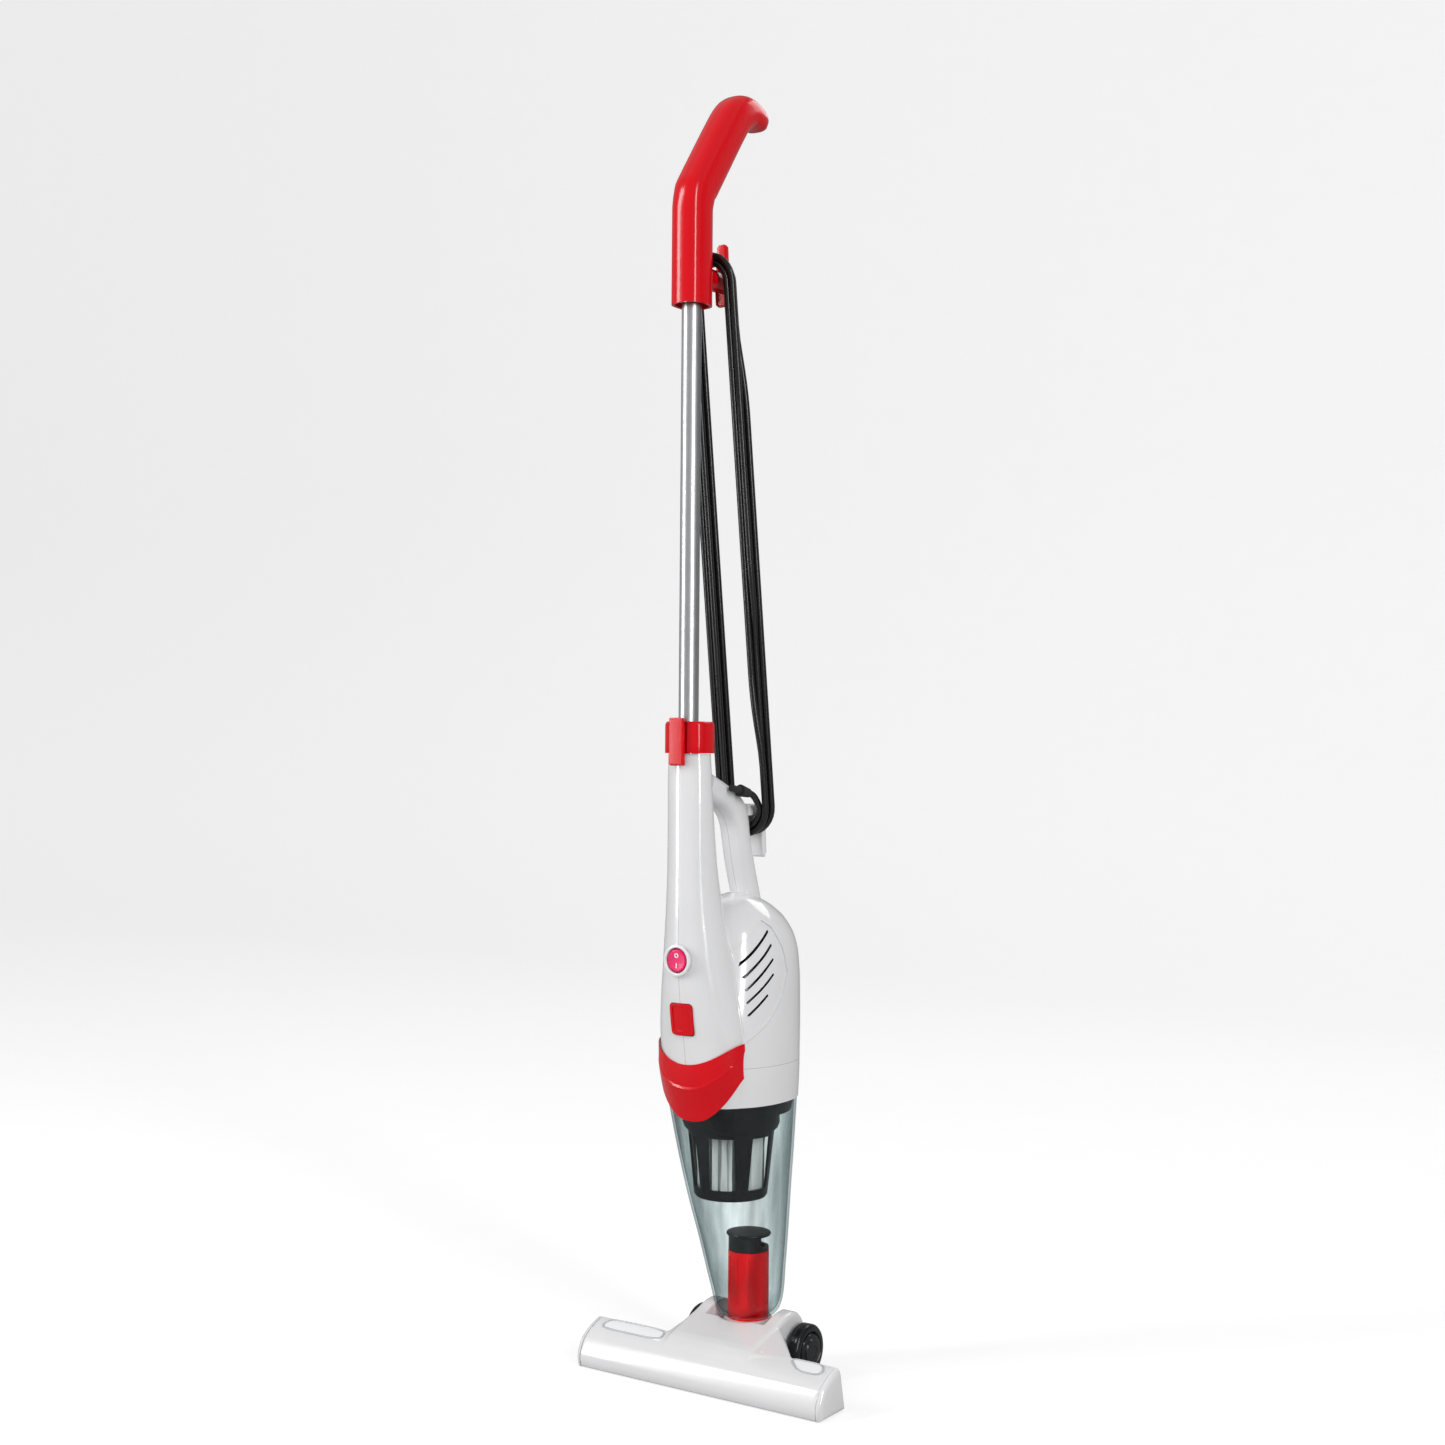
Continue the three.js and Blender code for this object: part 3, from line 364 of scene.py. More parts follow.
WHITE = (0.745, 0.745, 0.755)
white = finish("gloss_white", WHITE, 0.20, coat=0.6, grain=0.012)
HUMP = [(20.4, 6), (20.4, 24.8), (30, 32.8), (40, 38.4), (62, 45), (80, 50), (92, 54.5),
        (104, 56), (113, 53), (120, 46), (125, 34), (127, 18), (127, 6)]
hump = slab("hump", rounded_line(HUMP, 1), -44, 44)
soft_hump = hump.modifiers.new("soft", "BEVEL")
soft_hump.width = 0.0035
soft_hump.segments = 4
soft_hump.limit_method = "ANGLE"
soft_hump.angle_limit = math.radians(60)
settled(hump)
right_flare = wrapped("right_flare", [
    (38, 22, 24.5), (38, 36, 36), (38, 84, 49), (43, 82, 47), (57, 72, 38.5), (80, 43, 37.2),
    (60, 24, 26), (38, 22, 18), (38, 84, 4), (58, 70, 4), (70, 50, 4), (76, 44, 20)])
left_flare = wrapped("left_flare", [
    (-38, 22, 24.5), (-38, 36, 36), (-38, 84, 49), (-43, 82, 47), (-48, 72, 38.5),
    (-48, 43, 37.2), (-46, 24, 26), (-38, 22, 18), (-38, 84, 4), (-48, 70, 4), (-47, 44, 20)])


def ring(a, b, power, sides):
    """Points round a softened oval, as (across, deep)."""
    points = []
    for i in range(sides):
        c, s = math.cos(2 * math.pi * i / sides), math.sin(2 * math.pi * i / sides)
        points.append((a * math.copysign(abs(c) ** (2 / power), c),
                       b * math.copysign(abs(s) ** (2 / power), s)))
    return points


def eased(rows, steps):
    """More rows between the given ones, along curves that never overshoot; column 0 always rises."""
    rows = np.array(rows, float)
    t = rows[:, 0]
    gap = np.diff(t)
    slope = np.diff(rows, axis=0) / gap[:, None]
    tangent = np.zeros_like(rows)
    tangent[0], tangent[-1] = slope[0], slope[-1]
    for i in range(1, len(rows) - 1):
        same = slope[i - 1] * slope[i] > 0
        with np.errstate(divide="ignore", invalid="ignore"):
            mean = (gap[i - 1] + gap[i]) / (gap[i - 1] / slope[i - 1] + gap[i] / slope[i])
        tangent[i] = np.where(same, mean, 0)
    fine = [rows[0]]
    for i in range(len(rows) - 1):
        for u in np.linspace(0, 1, steps + 1)[1:]:
            h = gap[i]
            fine.append((2 * u**3 - 3 * u**2 + 1) * rows[i] + (u**3 - 2 * u**2 + u) * h * tangent[i]
                        + (3 * u**2 - 2 * u**3) * rows[i + 1] + (u**3 - u**2) * h * tangent[i + 1])
    return [list(map(float, row)) for row in fine]


def skinned(name, rings, materials=()):
    """Closes a stack of equal rings into a solid."""
    n = len(rings[0])
    faces = [[k * n + i, k * n + (i + 1) % n, (k + 1) * n + (i + 1) % n, (k + 1) * n + i]
             for k in range(len(rings) - 1) for i in range(n)]
    top = (len(rings) - 1) * n
    faces += [list(range(n))[::-1], [top + i for i in range(n)]]
    return linked(name, [p for r in rings for p in r], faces, materials)


OVAL = 2.15             # how square the level ovals are; 2 would be an ellipse


def lofted(name, stations, materials=(), sides=96, power=OVAL, steps=6):
    """A skin through level ovals: [height, middle depth, half width, half depth]."""
    rings = [[(x, y + d, z) for x, d in ring(a, b, power, sides)]
             for z, y, a, b in eased(stations, steps)]
    return skinned(name, rings, materials)


INLET_Y = 98
saddle = lofted("saddle", [[45, INLET_Y, 22, 23], [50, INLET_Y, 27, 29], [60, 97, 34, 40],
                           [80, 94, 38, 48]])
shell = slab("floor_head_shell", head_outline(), -121.5, 121.5, [white])
carved(shell, ("UNION", hump), ("UNION", right_flare), ("UNION", left_flare), ("DIFFERENCE", saddle),
       ("DIFFERENCE", slab("chamber", [(18.2, -3)] + head_outline(2.6) + [(52, -3)], -118.9, 118.9)),
       ("DIFFERENCE", block("neck_slot", (-30.5, 30.5), (76.3, 140), (-3, 80))),
       ("DIFFERENCE", block("plate_seat", (-43, 43), (48, 101), (-3, 3))))
grid = shell.modifiers.new("even", "REMESH")
grid.mode = "VOXEL"
grid.voxel_size = 0.0011
calm = shell.modifiers.new("calm", "SMOOTH")
calm.factor = 0.5
calm.iterations = 5
settled(shell)
shell.data.materials.clear()
shell.data.materials.append(white)
shown(shell, "floor_head", ["nozzle_shell"], crease=60)


def end_cap(side):
    """A shallow dome that follows the shell's side outline."""
    rings = []
    for i in range(11):
        angle = 0.5 * math.pi * i / 10
        size = 0.74 + 0.26 * math.cos(angle)
        x = side * (121.8 + 4.4 * math.sin(angle))
        rings.append([(x, 36 + (y - 36) * size, 17 + (z - 17) * size) for y, z in head_outline()])
    return skinned(f"end_cap_{'right' if side > 0 else 'left'}_skin", rings, [white])


shown(end_cap(1), "floor_head", ["end_cap_right"])
shown(end_cap(-1), "floor_head", ["end_cap_left"])

milky = finish("milky_inlay", (0.87, 0.885, 0.89), 0.12, coat=0.5, grain=0.01)
dark = finish("black_gloss", (0.008, 0.009, 0.010), 0.22, coat=0.08, ior=1.34,
              grain=0.04)
soft_rubber = finish("soft_rubber", (0.018, 0.018, 0.018), 0.7, grain=0.2, grain_scale=900)
felt = finish("red_pile", (0.30, 0.015, 0.02), 0.95, sheen=0.6, grain=0.9, grain_scale=2500)
steel = finish("bright_steel", (0.55, 0.55, 0.56), 0.28, metal=1, grain=0.15,
               grain_scale=500, stretch=(1, 1, 9))
for node in ("deck_panel_left", "deck_panel_right"):
    softened(node, milky, 0.25)
LEFT_INLAY = [(-112, 35), (-109, 40.5), (-104, 43), (-49, 43), (-47.5, 31), (-109, 31)]
RIGHT_INLAY = [(79, 43), (108, 43), (112.5, 40.5), (115, 35), (112, 31), (93, 31)]
frame_grey = finish("frame_grey", (0.46, 0.47, 0.48), 0.3, coat=0.2)
DECK = np.array([(20, 25)] + bend((20, 25), (29, 33), (44, 37.5), 14))
BEAD_R, BEAD_LIFT = 0.8, 0.35
for name, plan in (("inlay_frame_left", LEFT_INLAY), ("inlay_frame_right", RIGHT_INLAY)):
    rim_curve = bpy.data.curves.new(name, "CURVE")
    rim_curve.dimensions = "3D"
    rim_curve.bevel_depth = BEAD_R / 1000
    rim_curve.bevel_resolution = 3
    edge_line = rim_curve.splines.new("POLY")
    bead = rounded_line(plan, 3)
    edge_line.points.add(len(bead) - 1)
    for point, (x, y) in zip(edge_line.points, bead):
        deck_z = float(np.interp(y, DECK[:, 0], DECK[:, 1]))
        point.co = (*at(x, y, deck_z + BEAD_LIFT), 1)
    edge_line.use_cyclic_u = True
    rim_curve.materials.append(frame_grey)
    frame_bead = bpy.data.objects.new(name, rim_curve)
    bpy.context.scene.collection.objects.link(frame_bead)
    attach(frame_bead, "floor_head")
softened("base_plate", white)
softened("bristle_strip", finish("bristles", (0.02, 0.02, 0.02), 0.8, grain=1.0, grain_scale=1600,
                                 stretch=(1, 1, 0.05)), 0)
softened("lint_pad", felt, 0)
for node in ("wheel_pin_right", "wheel_pin_left"):
    softened(node, steel, 0)


# ---- Wheels ---------------------------------------------------------------------------------
# Two plain black wheels turn on steel pins. Each is one moulding with two shallow grooves
# round its tread, and a shiny stepped cap is pressed into its hub.
def spun(name, profile, y, z, materials, side=1, sides=72):
    """A profile of (radius, x) points turned about a level axle."""
    turns = [2 * math.pi * i / sides for i in range(sides)]
    rings = [[(side * x, y + r * math.cos(t), z + r * math.sin(t)) for t in turns]
             for r, x in profile]
    return skinned(name, rings, materials)


AXLE_Y, AXLE_Z = 107, 23
TYRE = [(14.9, 47), (19.4, 46.5), (21.6, 47.2), (22.8, 48.6), (23, 49.8), (22.75, 51.4),
        (23, 52.2), (23, 53.8), (22.75, 54.6), (23, 56.2), (22.8, 57.4), (21.8, 58.8),
        (20.2, 59.5), (17.2, 59.5), (16.2, 58.6), (15.6, 56.8), (14.9, 56.8)]
HUB = [(3.2, 56.9), (15.1, 56.9), (15.2, 59.2), (14.7, 59.9), (11.4, 60.4), (10.9, 61.2),
       (10.3, 61.9), (6, 62.05), (5.4, 61.6), (1, 61.7)]
for side, name in ((1, "right"), (-1, "left")):
    body = "wheel_r" if side > 0 else "wheel_l"
    for piece, outline, node in (("tyre", TYRE, "wheel"), ("hub", HUB, "hub_cap")):
        shown(spun(f"{piece}_{name}", outline, AXLE_Y, AXLE_Z, [dark], side), body,
              [f"{node}_{name}"])

# ---- Neck -----------------------------------------------------------------------------------
# The white socket that turns in the hump and takes the cup's red inlet, moulded in the same
# gloss white as the shell.
softened("neck_pivot", white, 0.5)


# ---- Dust cup -------------------------------------------------------------------------------
# Clear cup moulded in smoke-tinted plastic, open at the top, with faint upright flow marks.
# The red inlet stands in its foot, with a black deflector and a flap above.
FACE_TINT, EDGE_TINT = (0.935, 0.962, 0.962), (0.42, 0.50, 0.51)


def tinted(name):
    """See-through moulded plastic: darker where it is seen edge on, with a mirror-like skin."""
    material = bpy.data.materials.new(name)
    material.use_nodes = True
    tree = material.node_tree
    output = tree.nodes["Material Output"]
    tree.nodes.remove(tree.nodes["Principled BSDF"])
    facing = tree.nodes.new("ShaderNodeLayerWeight")
    facing.inputs["Blend"].default_value = 0.30
    tone = blended(tree, FACE_TINT, EDGE_TINT, facing.outputs["Facing"])
    marks = mapped(tree, noise(tree, 70, 3, (1, 1, 0.05)), 0.80, 1.12, 0.3, 0.7)
    scaled = tree.nodes.new("ShaderNodeVectorMath")
    scaled.operation = "SCALE"
    tree.links.new(tone, scaled.inputs[0])
    tree.links.new(marks, scaled.inputs["Scale"])
    clear = tree.nodes.new("ShaderNodeBsdfTransparent")
    tree.links.new(scaled.outputs[0], clear.inputs["Color"])
    skin = tree.nodes.new("ShaderNodeBsdfGlossy")
    skin.inputs["Roughness"].default_value = 0.05
    edge = tree.nodes.new("ShaderNodeFresnel")
    edge.inputs["IOR"].default_value = 1.45
    inner = tree.nodes.new("ShaderNodeNewGeometry")
    outward = mapped(tree, inner.outputs["Backfacing"], 0.7, 0)
    mirror = tree.nodes.new("ShaderNodeMath")
    mirror.operation = "MULTIPLY"
    tree.links.new(edge.outputs[0], mirror.inputs[0])
    tree.links.new(outward, mirror.inputs[1])
    both = tree.nodes.new("ShaderNodeMixShader")
    tree.links.new(mirror.outputs[0], both.inputs[0])
    tree.links.new(clear.outputs[0], both.inputs[1])
    tree.links.new(skin.outputs[0], both.inputs[2])
    tree.links.new(both.outputs[0], output.inputs["Surface"])
    return material


BODY_LOW = 243
CUP = [[48, INLET_Y, 20.4, 20.4], [50.5, INLET_Y, 23.6, 25], [55, 98, 26.3, 30.5], [63, 98.2, 28, 34],
       [90, 94.5, 31.5, 39], [120, 90, 35.3, 44.5], [160, 82.8, 40.4, 52], [200, 77, 45.8, 57.6],
       [BODY_LOW - 0.3, 71.5, 51, 62.4]]


def shrunk(stations, by):
    return [[z, y, a - by, b - by] for z, y, a, b in stations]


smoke = tinted("smoke_clear")
cup = lofted("cup_skin", CUP, [smoke])
CUP_WALL = 2.2
hollow = lofted("cup_hollow", [[50.6, INLET_Y, 19.5, 19.7], [52.7, 98, 22.2, 24.8],
                               [56.5, 98, 24.3, 28.6]]
                + shrunk(CUP[3:], CUP_WALL) + [[BODY_LOW + 6, 70.8, 49.6, 61]], [smoke])
FOOT_R, FOOT_SIDES = 18.3, 64
foot_turns = [2 * math.pi * i / FOOT_SIDES for i in range(FOOT_SIDES)]
foot = skinned("foot_bore", [[(FOOT_R * math.cos(t), INLET_Y + FOOT_R * math.sin(t), z)
                              for t in foot_turns] for z in (40, 60)], [smoke])
carved(cup, ("DIFFERENCE", hollow), ("DIFFERENCE", foot))
shown(cup, "cup", ["dust_cup"])
cup.visible_shadow = False
RED = (0.64, 0.0, 0.006)
red = finish("gloss_red", RED, 0.17, coat=0.12, ior=1.33, grain=0.01)
# The inlet's red is lighter than the gloss red. This is partly its own bright plastic and partly painted
# light, raised to make up for the light the clear cup holds back from it.
inlet_red_with_painted_light = finish("inlet_red_with_painted_light", (0.82, 0.0, 0.004), 0.2, ior=1.33, grain=0.01)
softened("inlet_tube", inlet_red_with_painted_light, 0.2)
softened("inlet_deflector", dark, 0.3)
softened("inlet_flap", dark, 0.3)

# ---- Filter ---------------------------------------------------------------------------------
# A black ring and basket hold a pleated off-white cloth filter under the motor. A soft rubber
# seal lies round the ring.
softened("filter_ring", dark, 0.4)
softened("filter_basket", dark, 0.4)
softened("filter_pleats", finish("filter_cloth", (0.74, 0.76, 0.74), 0.95, sheen=0.3, grain=0.8,
                                 grain_scale=3000), 0)
softened("filter_seal", soft_rubber, 0)

# ---- Housing --------------------------------------------------------------------------------
# The white body is two thin shells screwed together: a slim pod that rises into the neck, a
# domed motor cover behind it with five slanting vents a side, and the D-shaped carrying grip.
POD = [[BODY_LOW, 36.5, 40, 29], [270, 31.5, 40.5, 30.3], [298, 27, 39.5, 30], [318, 24, 37, 31],
       [340, 21, 33.5, 31], [362, 18.3, 30, 30], [384, 14.5, 27, 26.5], [410, 11, 23.8, 23.4],
       [444, 7.5, 21.3, 20], [480, 5, 20.2, 17.4], [515, 3, 19.6, 15.6], [541, 2, 18.8, 14.6]]
CORE = [[BODY_LOW, 71.5, 52, 63.4], [270, 71.5, 53, 64.4], [305, 72.5, 53, 63.5], [340, 74.5, 52, 61.5],
        [366, 78, 49, 57.5], [384, 80, 44, 51.5], [398, 79, 37, 43], [409, 76, 28, 32], [416, 73.5, 18, 20],
        [420, 72.5, 7, 7]]
GRIP_BAR = [[20, 514.5, 108, 11.7], [46, 504.7, 114, 11.0], [58, 498.0, 124, 12.0], [66, 490.5, 143, 12.8],
            [70.6, 480, 163, 11.9], [73.4, 466, 167, 10.9], [79.6, 443.6, 163, 11.3], [86, 425, 161, 11.2],
            [93.5, 404, 161, 10.9], [98.5, 387, 164, 10.9]]


def swept(name, stations, half_width, materials=(), sides=72, power=2.6, steps=5):
    """A skin through leaning ovals: [depth, height, lean in degrees, half thickness].

    half_width is one number, or one for each station.
    """
    along = [0]
    for a, b in zip(stations, stations[1:]):
        along.append(along[-1] + math.hypot(b[0] - a[0], b[1] - a[1]))
    rings = []
    widths = half_width if isinstance(half_width, list) else [half_width] * len(stations)
    rows = [[s, *row, w] for s, row, w in zip(along, stations, widths)]
    for _, y, z, lean, thick, wide in eased(rows, steps):
        tilt = math.radians(lean)
        rings.append([(x, y + d * math.cos(tilt), z - d * math.sin(tilt))
                      for x, d in ring(wide, thick, power, sides)])
    return skinned(name, rings, materials)


VENTS = [((32, 362), (65, 389)), ((33.5, 352), (64, 377.5)), ((33.5, 341.5), (62.5, 365.5)),
         ((33.5, 331), (60.5, 353)), ((34, 320.5), (52, 336))]
VENT_R = 0.95


def vent(i, side):
    """One slanting slot, with a dark inside."""
    (y0, z0), (y1, z1) = VENTS[i]
    length = math.hypot(y1 - y0, z1 - z0)
    uy, uz = (y1 - y0) / length, (z1 - z0) / length
    outline = []
    for centre, start in (((y1, z1), -90), ((y0, z0), 90)):
        for k in range(9):
            angle = math.radians(start + 22.5 * k)
            along, across = VENT_R * math.cos(angle), VENT_R * math.sin(angle)
            outline.append((centre[0] + along * uy - across * uz,
                            centre[1] + along * uz + across * uy))
    slot = slab(f"vent_{i}", outline, side * 31, side * 61, [dark])
    return carved(slot, ("DIFFERENCE", lofted("pod_kept", shrunk(POD, -0.6), [dark])))


shell_white = finish("gloss_white_seamed", WHITE, 0.18, coat=0.6, grain=0.012,
                     seams=[("X", 0, 0.28), ("Z", 276, 0.26)])
SHELL_WALL = 2.6
housing = lofted("housing_skin", POD, [shell_white])
pod_room = lofted("pod_room", [[BODY_LOW - 5, 37, 37, 26.4]] + shrunk(POD, SHELL_WALL)[:-2],
                  [shell_white])
core_room = lofted("core_room", [[BODY_LOW - 5, 71.5, 48.6, 60.6]]
                   + shrunk(CORE[:-3], SHELL_WALL) + [[407, 76, 22, 26]], [shell_white])
RECESS = [(20, 366), (62, 399), (70, 392), (77, 374), (79, 354), (70, 335), (54, 316),
          (30, 297), (22, 330)]
RECESS_DEPTH = 1.7


def recess(side):
    """A shallow step in the cover's side round the vents."""
    area = slab("recess", RECESS, side * 25, side * 70, [shell_white])
    floor = lofted("recess_floor", shrunk(CORE, RECESS_DEPTH)[:-1], [shell_white])
    return carved(area, ("DIFFERENCE", floor),
                  ("DIFFERENCE", lofted("pod_kept", shrunk(POD, -0.4), [shell_white])))


def bore(name, start, end, radius, sides=48):
    """A straight round solid from one point to another."""
    start, end = Vector(start), Vector(end)
    turn = (end - start).to_track_quat("Z", "Y")
    turns = [2 * math.pi * i / sides for i in range(sides)]
    rings = [[tuple(middle + turn @ Vector((radius * math.cos(t), radius * math.sin(t), 0)))
              for t in turns] for middle in (start, end)]
    return skinned(name, rings)


SWITCH_Z, BUTTON_Z = 368, 318
TUBE_HOLE_R = 8.8


def rounded_box(wide, high, round_by, middle_z, steps=6):
    outline = []
    for k, (sx, sz) in enumerate(((1, 1), (-1, 1), (-1, -1), (1, -1))):
        for i in range(steps + 1):
            angle = math.pi / 2 * (k + i / steps)
            outline.append((sx * (wide / 2 - round_by) + round_by * math.cos(angle),
                            middle_z + sz * (high / 2 - round_by) + round_by * math.sin(angle)))
    return outline


def front_block(name, outline, y0, y1, materials=()):
    """A front outline of (across, height) points running back from y0 to y1."""
    return skinned(name, [[(x, y, z) for x, z in outline] for y in (y0, y1)], materials)


carved(housing, ("UNION", lofted("core", CORE, [shell_white])),
       ("UNION", swept("grip_bar", GRIP_BAR, 12, [shell_white])),
       ("DIFFERENCE", pod_room), ("DIFFERENCE", core_room),
       ("DIFFERENCE", bore("tube_hole", (0, 0, 504), (0, 0, 546), TUBE_HOLE_R)),
       ("DIFFERENCE", bore("switch_hole", (0, -30, SWITCH_Z), (0, 0, SWITCH_Z), 12.3)),
       ("DIFFERENCE", front_block("button_hole", rounded_box(23.2, 27.8, 3.4, BUTTON_Z), -30, 12)),
       ("DIFFERENCE", bore("gland", (17.2, 38, 512.4), (18.4, 66, 507), 3.5)),
       ("DIFFERENCE", block("hook_seat", (-10.3, 10.3), (79.6, 90), (486.7, 497.3))),
       *[("DIFFERENCE", recess(side)) for side in (1, -1)],
       *[("DIFFERENCE", vent(i, side)) for i in range(len(VENTS)) for side in (1, -1)])
shown(housing, "hand_unit", ["housing_right", "housing_left"], crease=28)
for i in (1, 2, 3):
    softened(f"housing_screw_{i}", steel, 0)

# ---- Badge ----------------------------------------------------------------------------------
# A plain gloss red shield, one curved moulding wrapped over the joint between the housing and
# the cup, with a fold across it.
def reading(stations, z):
    """Middle depth, half width and half depth of a lofted body at one height."""
    rows = np.array(eased(stations, 8))
    return [float(np.interp(z, rows[:, 0], rows[:, k])) for k in (1, 2, 3)]


BADGE_BODY = [[226, 39, 40, 28.6]] + POD[:5]
top_edge = np.array([(-43.5, 299)] + bend((-43.5, 299), (0, 260), (43.5, 299), 32))
low_edge = np.array([(-44, 274)] + bend((-44, 274), (-36, 246), (-14, 233), 14)
                    + bend((-14, 233), (0, 228), (14, 233), 10) + bend((14, 233), (36, 246), (44, 274), 14))
COLUMNS, ROWS = 72, 26
BADGE_HALF, BADGE_RIM, BADGE_BACK = 42.2, 2.4, 0.45
FOLD_UP = (0, 0.577, 0.616, 1)      # share of the badge's height
FOLD_OUT = (1.3, 4.0, 3.2, 0.9)     # how far its face stands off the pod there
sheet_front, sheet_back = [], []
for sheet in (sheet_front, sheet_back):
    for c in range(COLUMNS + 1):
        x = BADGE_HALF * math.sin(math.pi / 2 * (2 * c / COLUMNS - 1))
        low, high = (float(np.interp(x, edge[:, 0], edge[:, 1]))
                     for edge in (low_edge, top_edge))
        for r in range(ROWS + 1):
            z = low + (high - low) * r / ROWS
            y, a, b = reading(BADGE_BODY, z)
            share = min(0.9995, abs(x) / (a + BADGE_RIM))
            out = np.interp(r / ROWS, FOLD_UP, FOLD_OUT) if sheet is sheet_front else BADGE_BACK
            sheet.append((x, y - (b + out) * (1 - share ** OVAL) ** (1 / OVAL), z))
n = ROWS + 1
near_faces = [[c * n + r, (c + 1) * n + r, (c + 1) * n + r + 1, c * n + r + 1]
              for c in range(COLUMNS) for r in range(ROWS)]
far = len(sheet_front)
far_faces = [[far + v for v in face[::-1]] for face in near_faces]
rim = ([c * n for c in range(COLUMNS + 1)] + [COLUMNS * n + r for r in range(1, n)]
       + [c * n + ROWS for c in range(COLUMNS - 1, -1, -1)] + [r for r in range(ROWS - 1, 0, -1)])
rim_faces = [[a, far + a, far + b, b] for a, b in zip(rim, rim[1:] + rim[:1])]
badge = linked("badge_skin", sheet_front + sheet_back, near_faces + far_faces + rim_faces, [red])
shown(badge, "hand_unit", ["front_badge"], crease=8)

# ---- Switch, release button and latch ---------------------------------------------------------
# A pink rocker in a white ring, marked with a plain ring and bar, and below it a red key
# that swings the black latch behind it.
pink = finish("bright_pink", (0.78, 0.01, 0.13), 0.22, coat=0.1, ior=1.36, grain=0.01)
softened("switch_bezel", white, 0.4)
softened("power_switch", pink, 0.5)
softened("switch_body", dark, 0)
key = front_block("release_key", rounded_box(22, 26.6, 3, BUTTON_Z), -30, 0, [red])
carved(key, ("INTERSECT", lofted("key_face", shrunk(POD, -1.5), [red])),
       ("UNION", block("key_stem", (-4, 4), (-1, 7.4), (BUTTON_Z - 12, BUTTON_Z - 4))))
dish = front_block("key_dish", rounded_box(16.5, 21, 2.4, BUTTON_Z + 0.6), -30, -1)
carved(dish, ("DIFFERENCE", lofted("dish_floor", shrunk(POD, -0.8))))
carved(key, ("DIFFERENCE", dish))
soft_key = key.modifiers.new("edge", "BEVEL")
soft_key.width = 0.0011
soft_key.segments = 3
soft_key.limit_method = "ANGLE"
soft_key.angle_limit = math.radians(38)
settled(key)
shown(key, "button", ["release_button"])
softened("cup_latch", dark, 0.3)
mark_white = finish("mark_white", (0.85, 0.85, 0.85), 0.4)
mark_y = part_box("power_switch")[0].y * 1000 + MIDDLE + 0.25
MARK_FRONT, MARK_BACK = mark_y - 0.35, mark_y + 0.6
MARK_OFF = 4.2          # how far each mark's middle is above or below the rocker's


def disc(name, radius, y0, y1):
    """A round plate on the rocker's upper half."""
    outline = [(radius * math.cos(t), SWITCH_Z + MARK_OFF + radius * math.sin(t))
               for t in np.linspace(0, 2 * math.pi, 33)[:-1]]
    return front_block(name, outline, y0, y1, [mark_white])


bar_outline = rounded_box(0.9, 4.2, 0.4, SWITCH_Z - MARK_OFF)
shown(front_block("mark_bar", bar_outline, MARK_FRONT, MARK_BACK, [mark_white]),
      "switch")
circle = disc("mark_ring", 2.0, MARK_FRONT, MARK_BACK)
carved(circle, ("DIFFERENCE", disc("mark_hole", 1.25, mark_y - 2, mark_y + 2)))
shown(circle, "switch")

# ---- Motor ----------------------------------------------------------------------------------
# A small mains motor on a rubber ring turns the fan; foam pads line the vents inside. The
# bulkhead and the fan's shroud are black mouldings, and the fan is light alloy.
satin = finish("satin_aluminium", (0.60, 0.61, 0.62), 0.30, metal=1, grain=0.10,
               grain_scale=700, stretch=(1, 1, 0.04))
softened("motor_bulkhead", dark, 0)
softened("fan_shroud", dark, 0)
softened("impeller", satin, 0)
softened("motor_shaft", steel, 0)
softened("motor_can", steel, 0)
softened("motor_mount", soft_rubber, 0)
foam = finish("open_foam", (0.03, 0.032, 0.035), 0.98, grain=1.0, grain_scale=1100)
for node in ("exhaust_foam_right", "exhaust_foam_left"):
    softened(node, foam, 0)

# ---- Collar and stick tube --------------------------------------------------------------------
# A drawn satin aluminium tube stands in a red collar with a sprung release tab in front. The
# collar and its tab are moulded in the badge's gloss red.
collar = lofted("collar_skin", [[541.3, 2, 20.0, 15.8], [542.2, 2, 20.2, 16], [565, 2, 20.2, 16],
                [567, 2, 19.6, 15.4], [568, 2, 18.6, 14.6]], [red], power=3, steps=3)
carved(collar, ("DIFFERENCE", bore("collar_bore", (0, 0, 530), (0, 0, 580), TUBE_HOLE_R)),
       ("DIFFERENCE", block("tab_seat", (-7.8, 7.8), (-30, -11.2), (530, 580))))
shown(collar, "hand_unit", ["collar"])
softened("latch_tab", red, 0.7)
softened("stick_tube", satin, 0)


# ---- Handle ---------------------------------------------------------------------------------
# Two gloss red half shells, screwed together round the top of the tube and bent over at the
# top into a blunt tip.
HANDLE = [[0, 920, 0, 17], [0, 1000, 0, 17], [3, 1016, 20, 17.5], [8, 1024, 30, 17.7],
          [19, 1040, 34.5, 17.7], [50, 1084.5, 35, 17.5], [60, 1096.5, 46, 17],
          [70, 1103, 63, 15.6], [80, 1105.3, 84, 13], [91, 1104, 100, 10.7],
          [99, 1101.6, 112, 8.6], [103.5, 1099.6, 118, 5]]
HANDLE_WIDE = [15.5] * 7 + [15.2, 14.6, 13.4, 11.4, 7.5]
red_seamed = finish("gloss_red_seamed", RED, 0.17, coat=0.12, ior=1.33, grain=0.01,
                    seams=[("X", 0, 0.3)])
handle = swept("handle_skin", HANDLE, HANDLE_WIDE, [red_seamed], sides=96)
room = swept("handle_room", [[y, z, lean, t - SHELL_WALL] for y, z, lean, t in HANDLE[:-1]],
             [w - SHELL_WALL for w in HANDLE_WIDE[:-1]], [red_seamed])
carved(handle, ("DIFFERENCE", room),
       ("DIFFERENCE", bore("handle_pivot", (0, 0, 948), (0, 40, 948), 3.1)))
shown(handle, "hand_unit", ["handle_right", "handle_left"])
for i in (1, 2):
    softened(f"handle_screw_{i}", steel, 0)

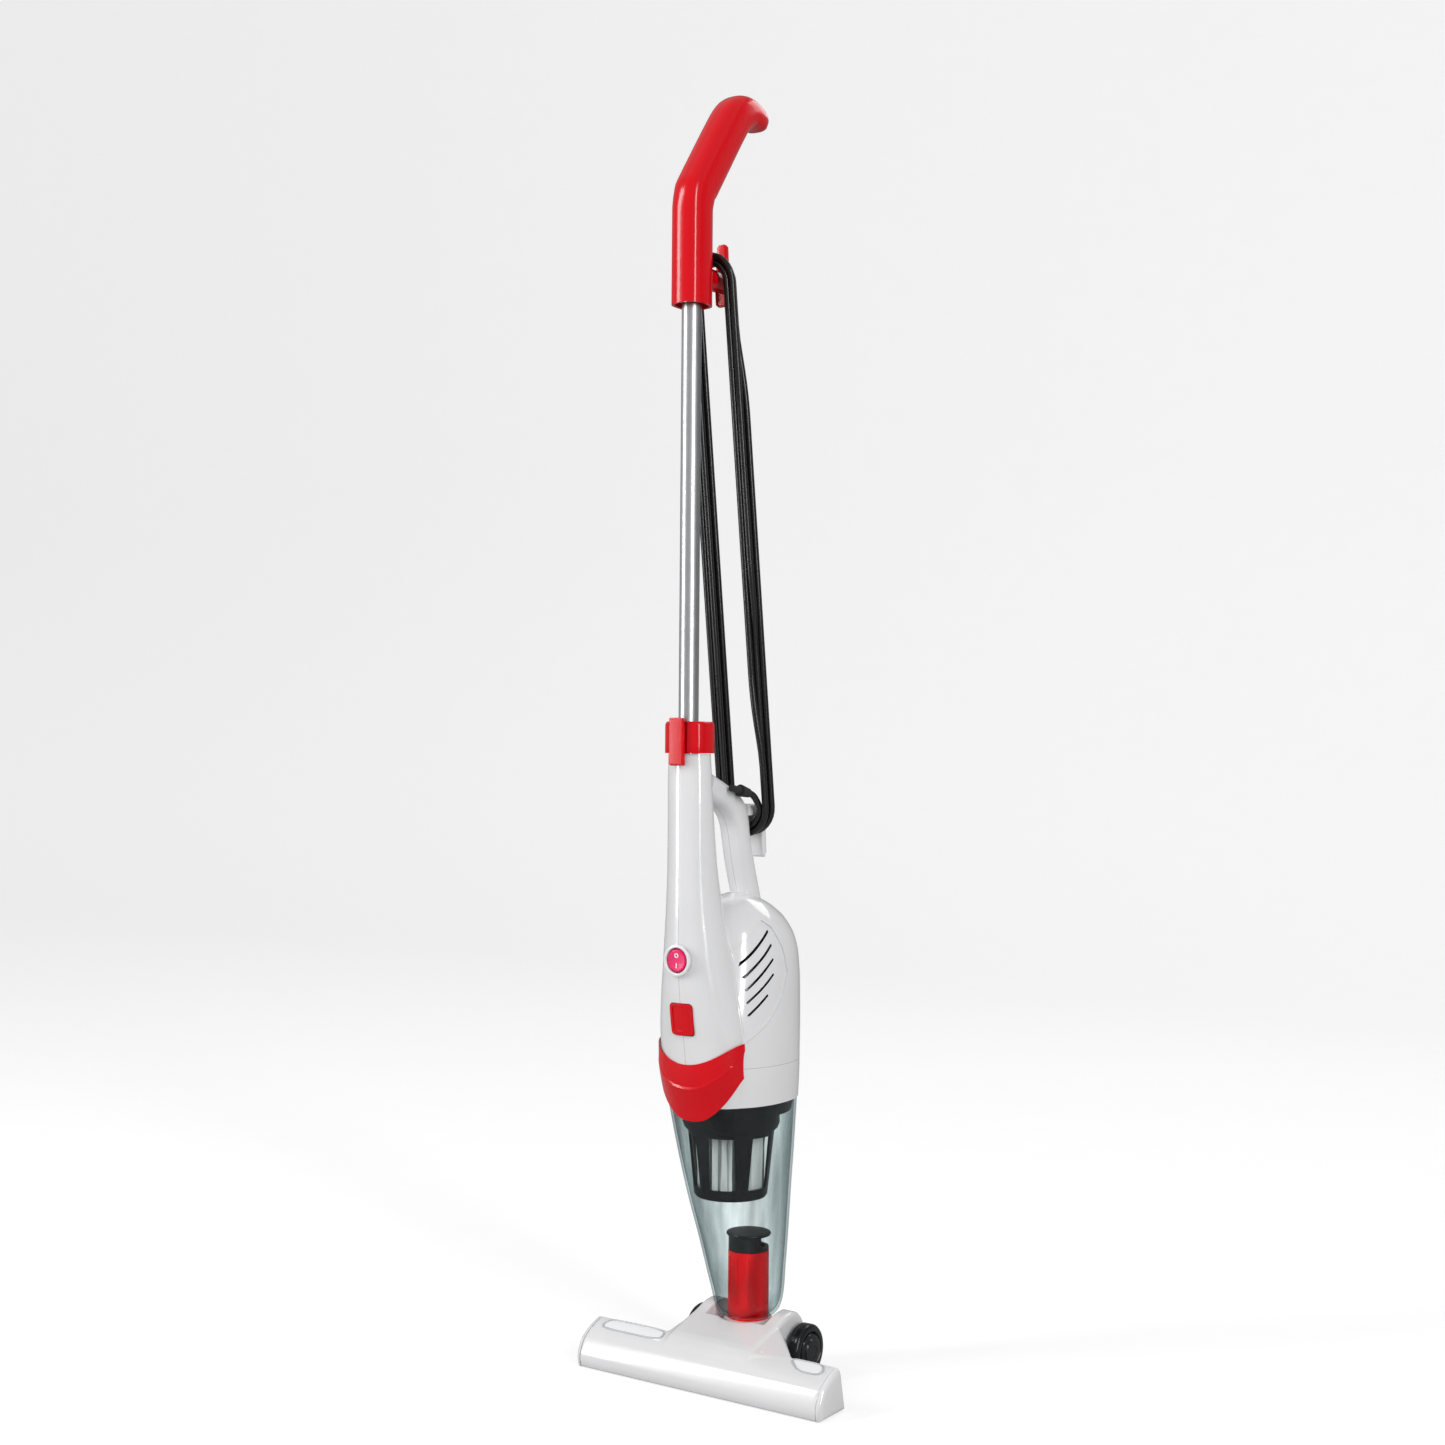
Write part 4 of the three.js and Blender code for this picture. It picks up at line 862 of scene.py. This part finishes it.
# ---- Cord hooks, relief and plug ----------------------------------------------------------------
# The red upper hook turns on its pin to drop the cord; the white lower one is fixed. The plug
# is a two-blade moulding on the cord's end, and the relief is soft rubber.
softened("upper_cord_hook", red, 0.5)
softened("hook_pin", steel, 0)
softened("lower_cord_hook", white, 0.5)
softened("strain_relief", soft_rubber, 0)
softened("plug", jacket, 0.6)
brass = finish("brass", (0.72, 0.55, 0.26), 0.3, metal=1, grain=0.1)
for node in ("plug_blade_right", "plug_blade_left"):
    softened(node, brass, 0.15)

# ---- Floor and light ----------------------------------------------------------------------------
# A pale sweep that curves up behind. A tall soft light stands at the front on each side, and a
# weak one behind. Sweep and sky are brighter to the eye than in reflections, so that they are
# near white without greying the dark pieces.
BEND_START, WALL_Y, BEND_END = 2600, 4200, 1600
SWEEP_GLOW, SKY_GLOW = (0.04, 0.66), (0.46, 0.95)      # in reflections, and to the eye
profile = ([(-6000, 0), (BEND_START, 0)]
           + bend((BEND_START, 0), (WALL_Y, 0), (WALL_Y, BEND_END), 24) + [(WALL_Y, 7000)])
sweep = linked("sweep", [(x, y, z) for x in (-16000, 16000) for y, z in profile],
               [[i, i + 1, len(profile) + i + 1, len(profile) + i] for i in range(len(profile) - 1)],
               [finish("pale_sweep", (0.42, 0.42, 0.42), 0.95, grain=0.0)])
sweep_tree = sweep.data.materials[0].node_tree
glow = sweep_tree.nodes["Principled BSDF"]
glow.inputs["Emission Color"].default_value = (1, 1, 1, 1)
sight = sweep_tree.nodes.new("ShaderNodeLightPath")
sweep_tree.links.new(mapped(sweep_tree, sight.outputs["Is Camera Ray"], *SWEEP_GLOW),
                     glow.inputs["Emission Strength"])
for polygon in sweep.data.polygons:
    polygon.use_smooth = True


def soft_light(name, place, target, size, power):
    data = bpy.data.lights.new(name, "AREA")
    data.shape = "RECTANGLE"
    data.size, data.size_y = size
    data.energy = power
    lamp = bpy.data.objects.new(name, data)
    bpy.context.scene.collection.objects.link(lamp)
    aim = (Vector(target) - Vector(place)).to_track_quat("-Z", "Y")
    lamp.matrix_world = Matrix.Translation(place) @ aim.to_matrix().to_4x4()


soft_light("key", (-1.7, -2.0, 1.35), (0, 0, 0.5), (0.4, 2.6), 50)
soft_light("fill", (2.5, -1.2, 1.5), (0, 0, 0.5), (0.4, 2.4), 52)
soft_light("back", (0.4, 2.2, 2.4), (0, 0, 0.6), (1.6, 1.0), 14)
world = bpy.data.worlds.new("studio")
world.use_nodes = True
sky = world.node_tree
sky.nodes["Background"].inputs["Color"].default_value = (1, 1, 1, 1)
sky_sight = sky.nodes.new("ShaderNodeLightPath")
sky.links.new(mapped(sky, sky_sight.outputs["Is Camera Ray"], *SKY_GLOW),
              sky.nodes["Background"].inputs["Strength"])
bpy.context.scene.world = world
bpy.context.scene.view_settings.view_transform = "Standard"
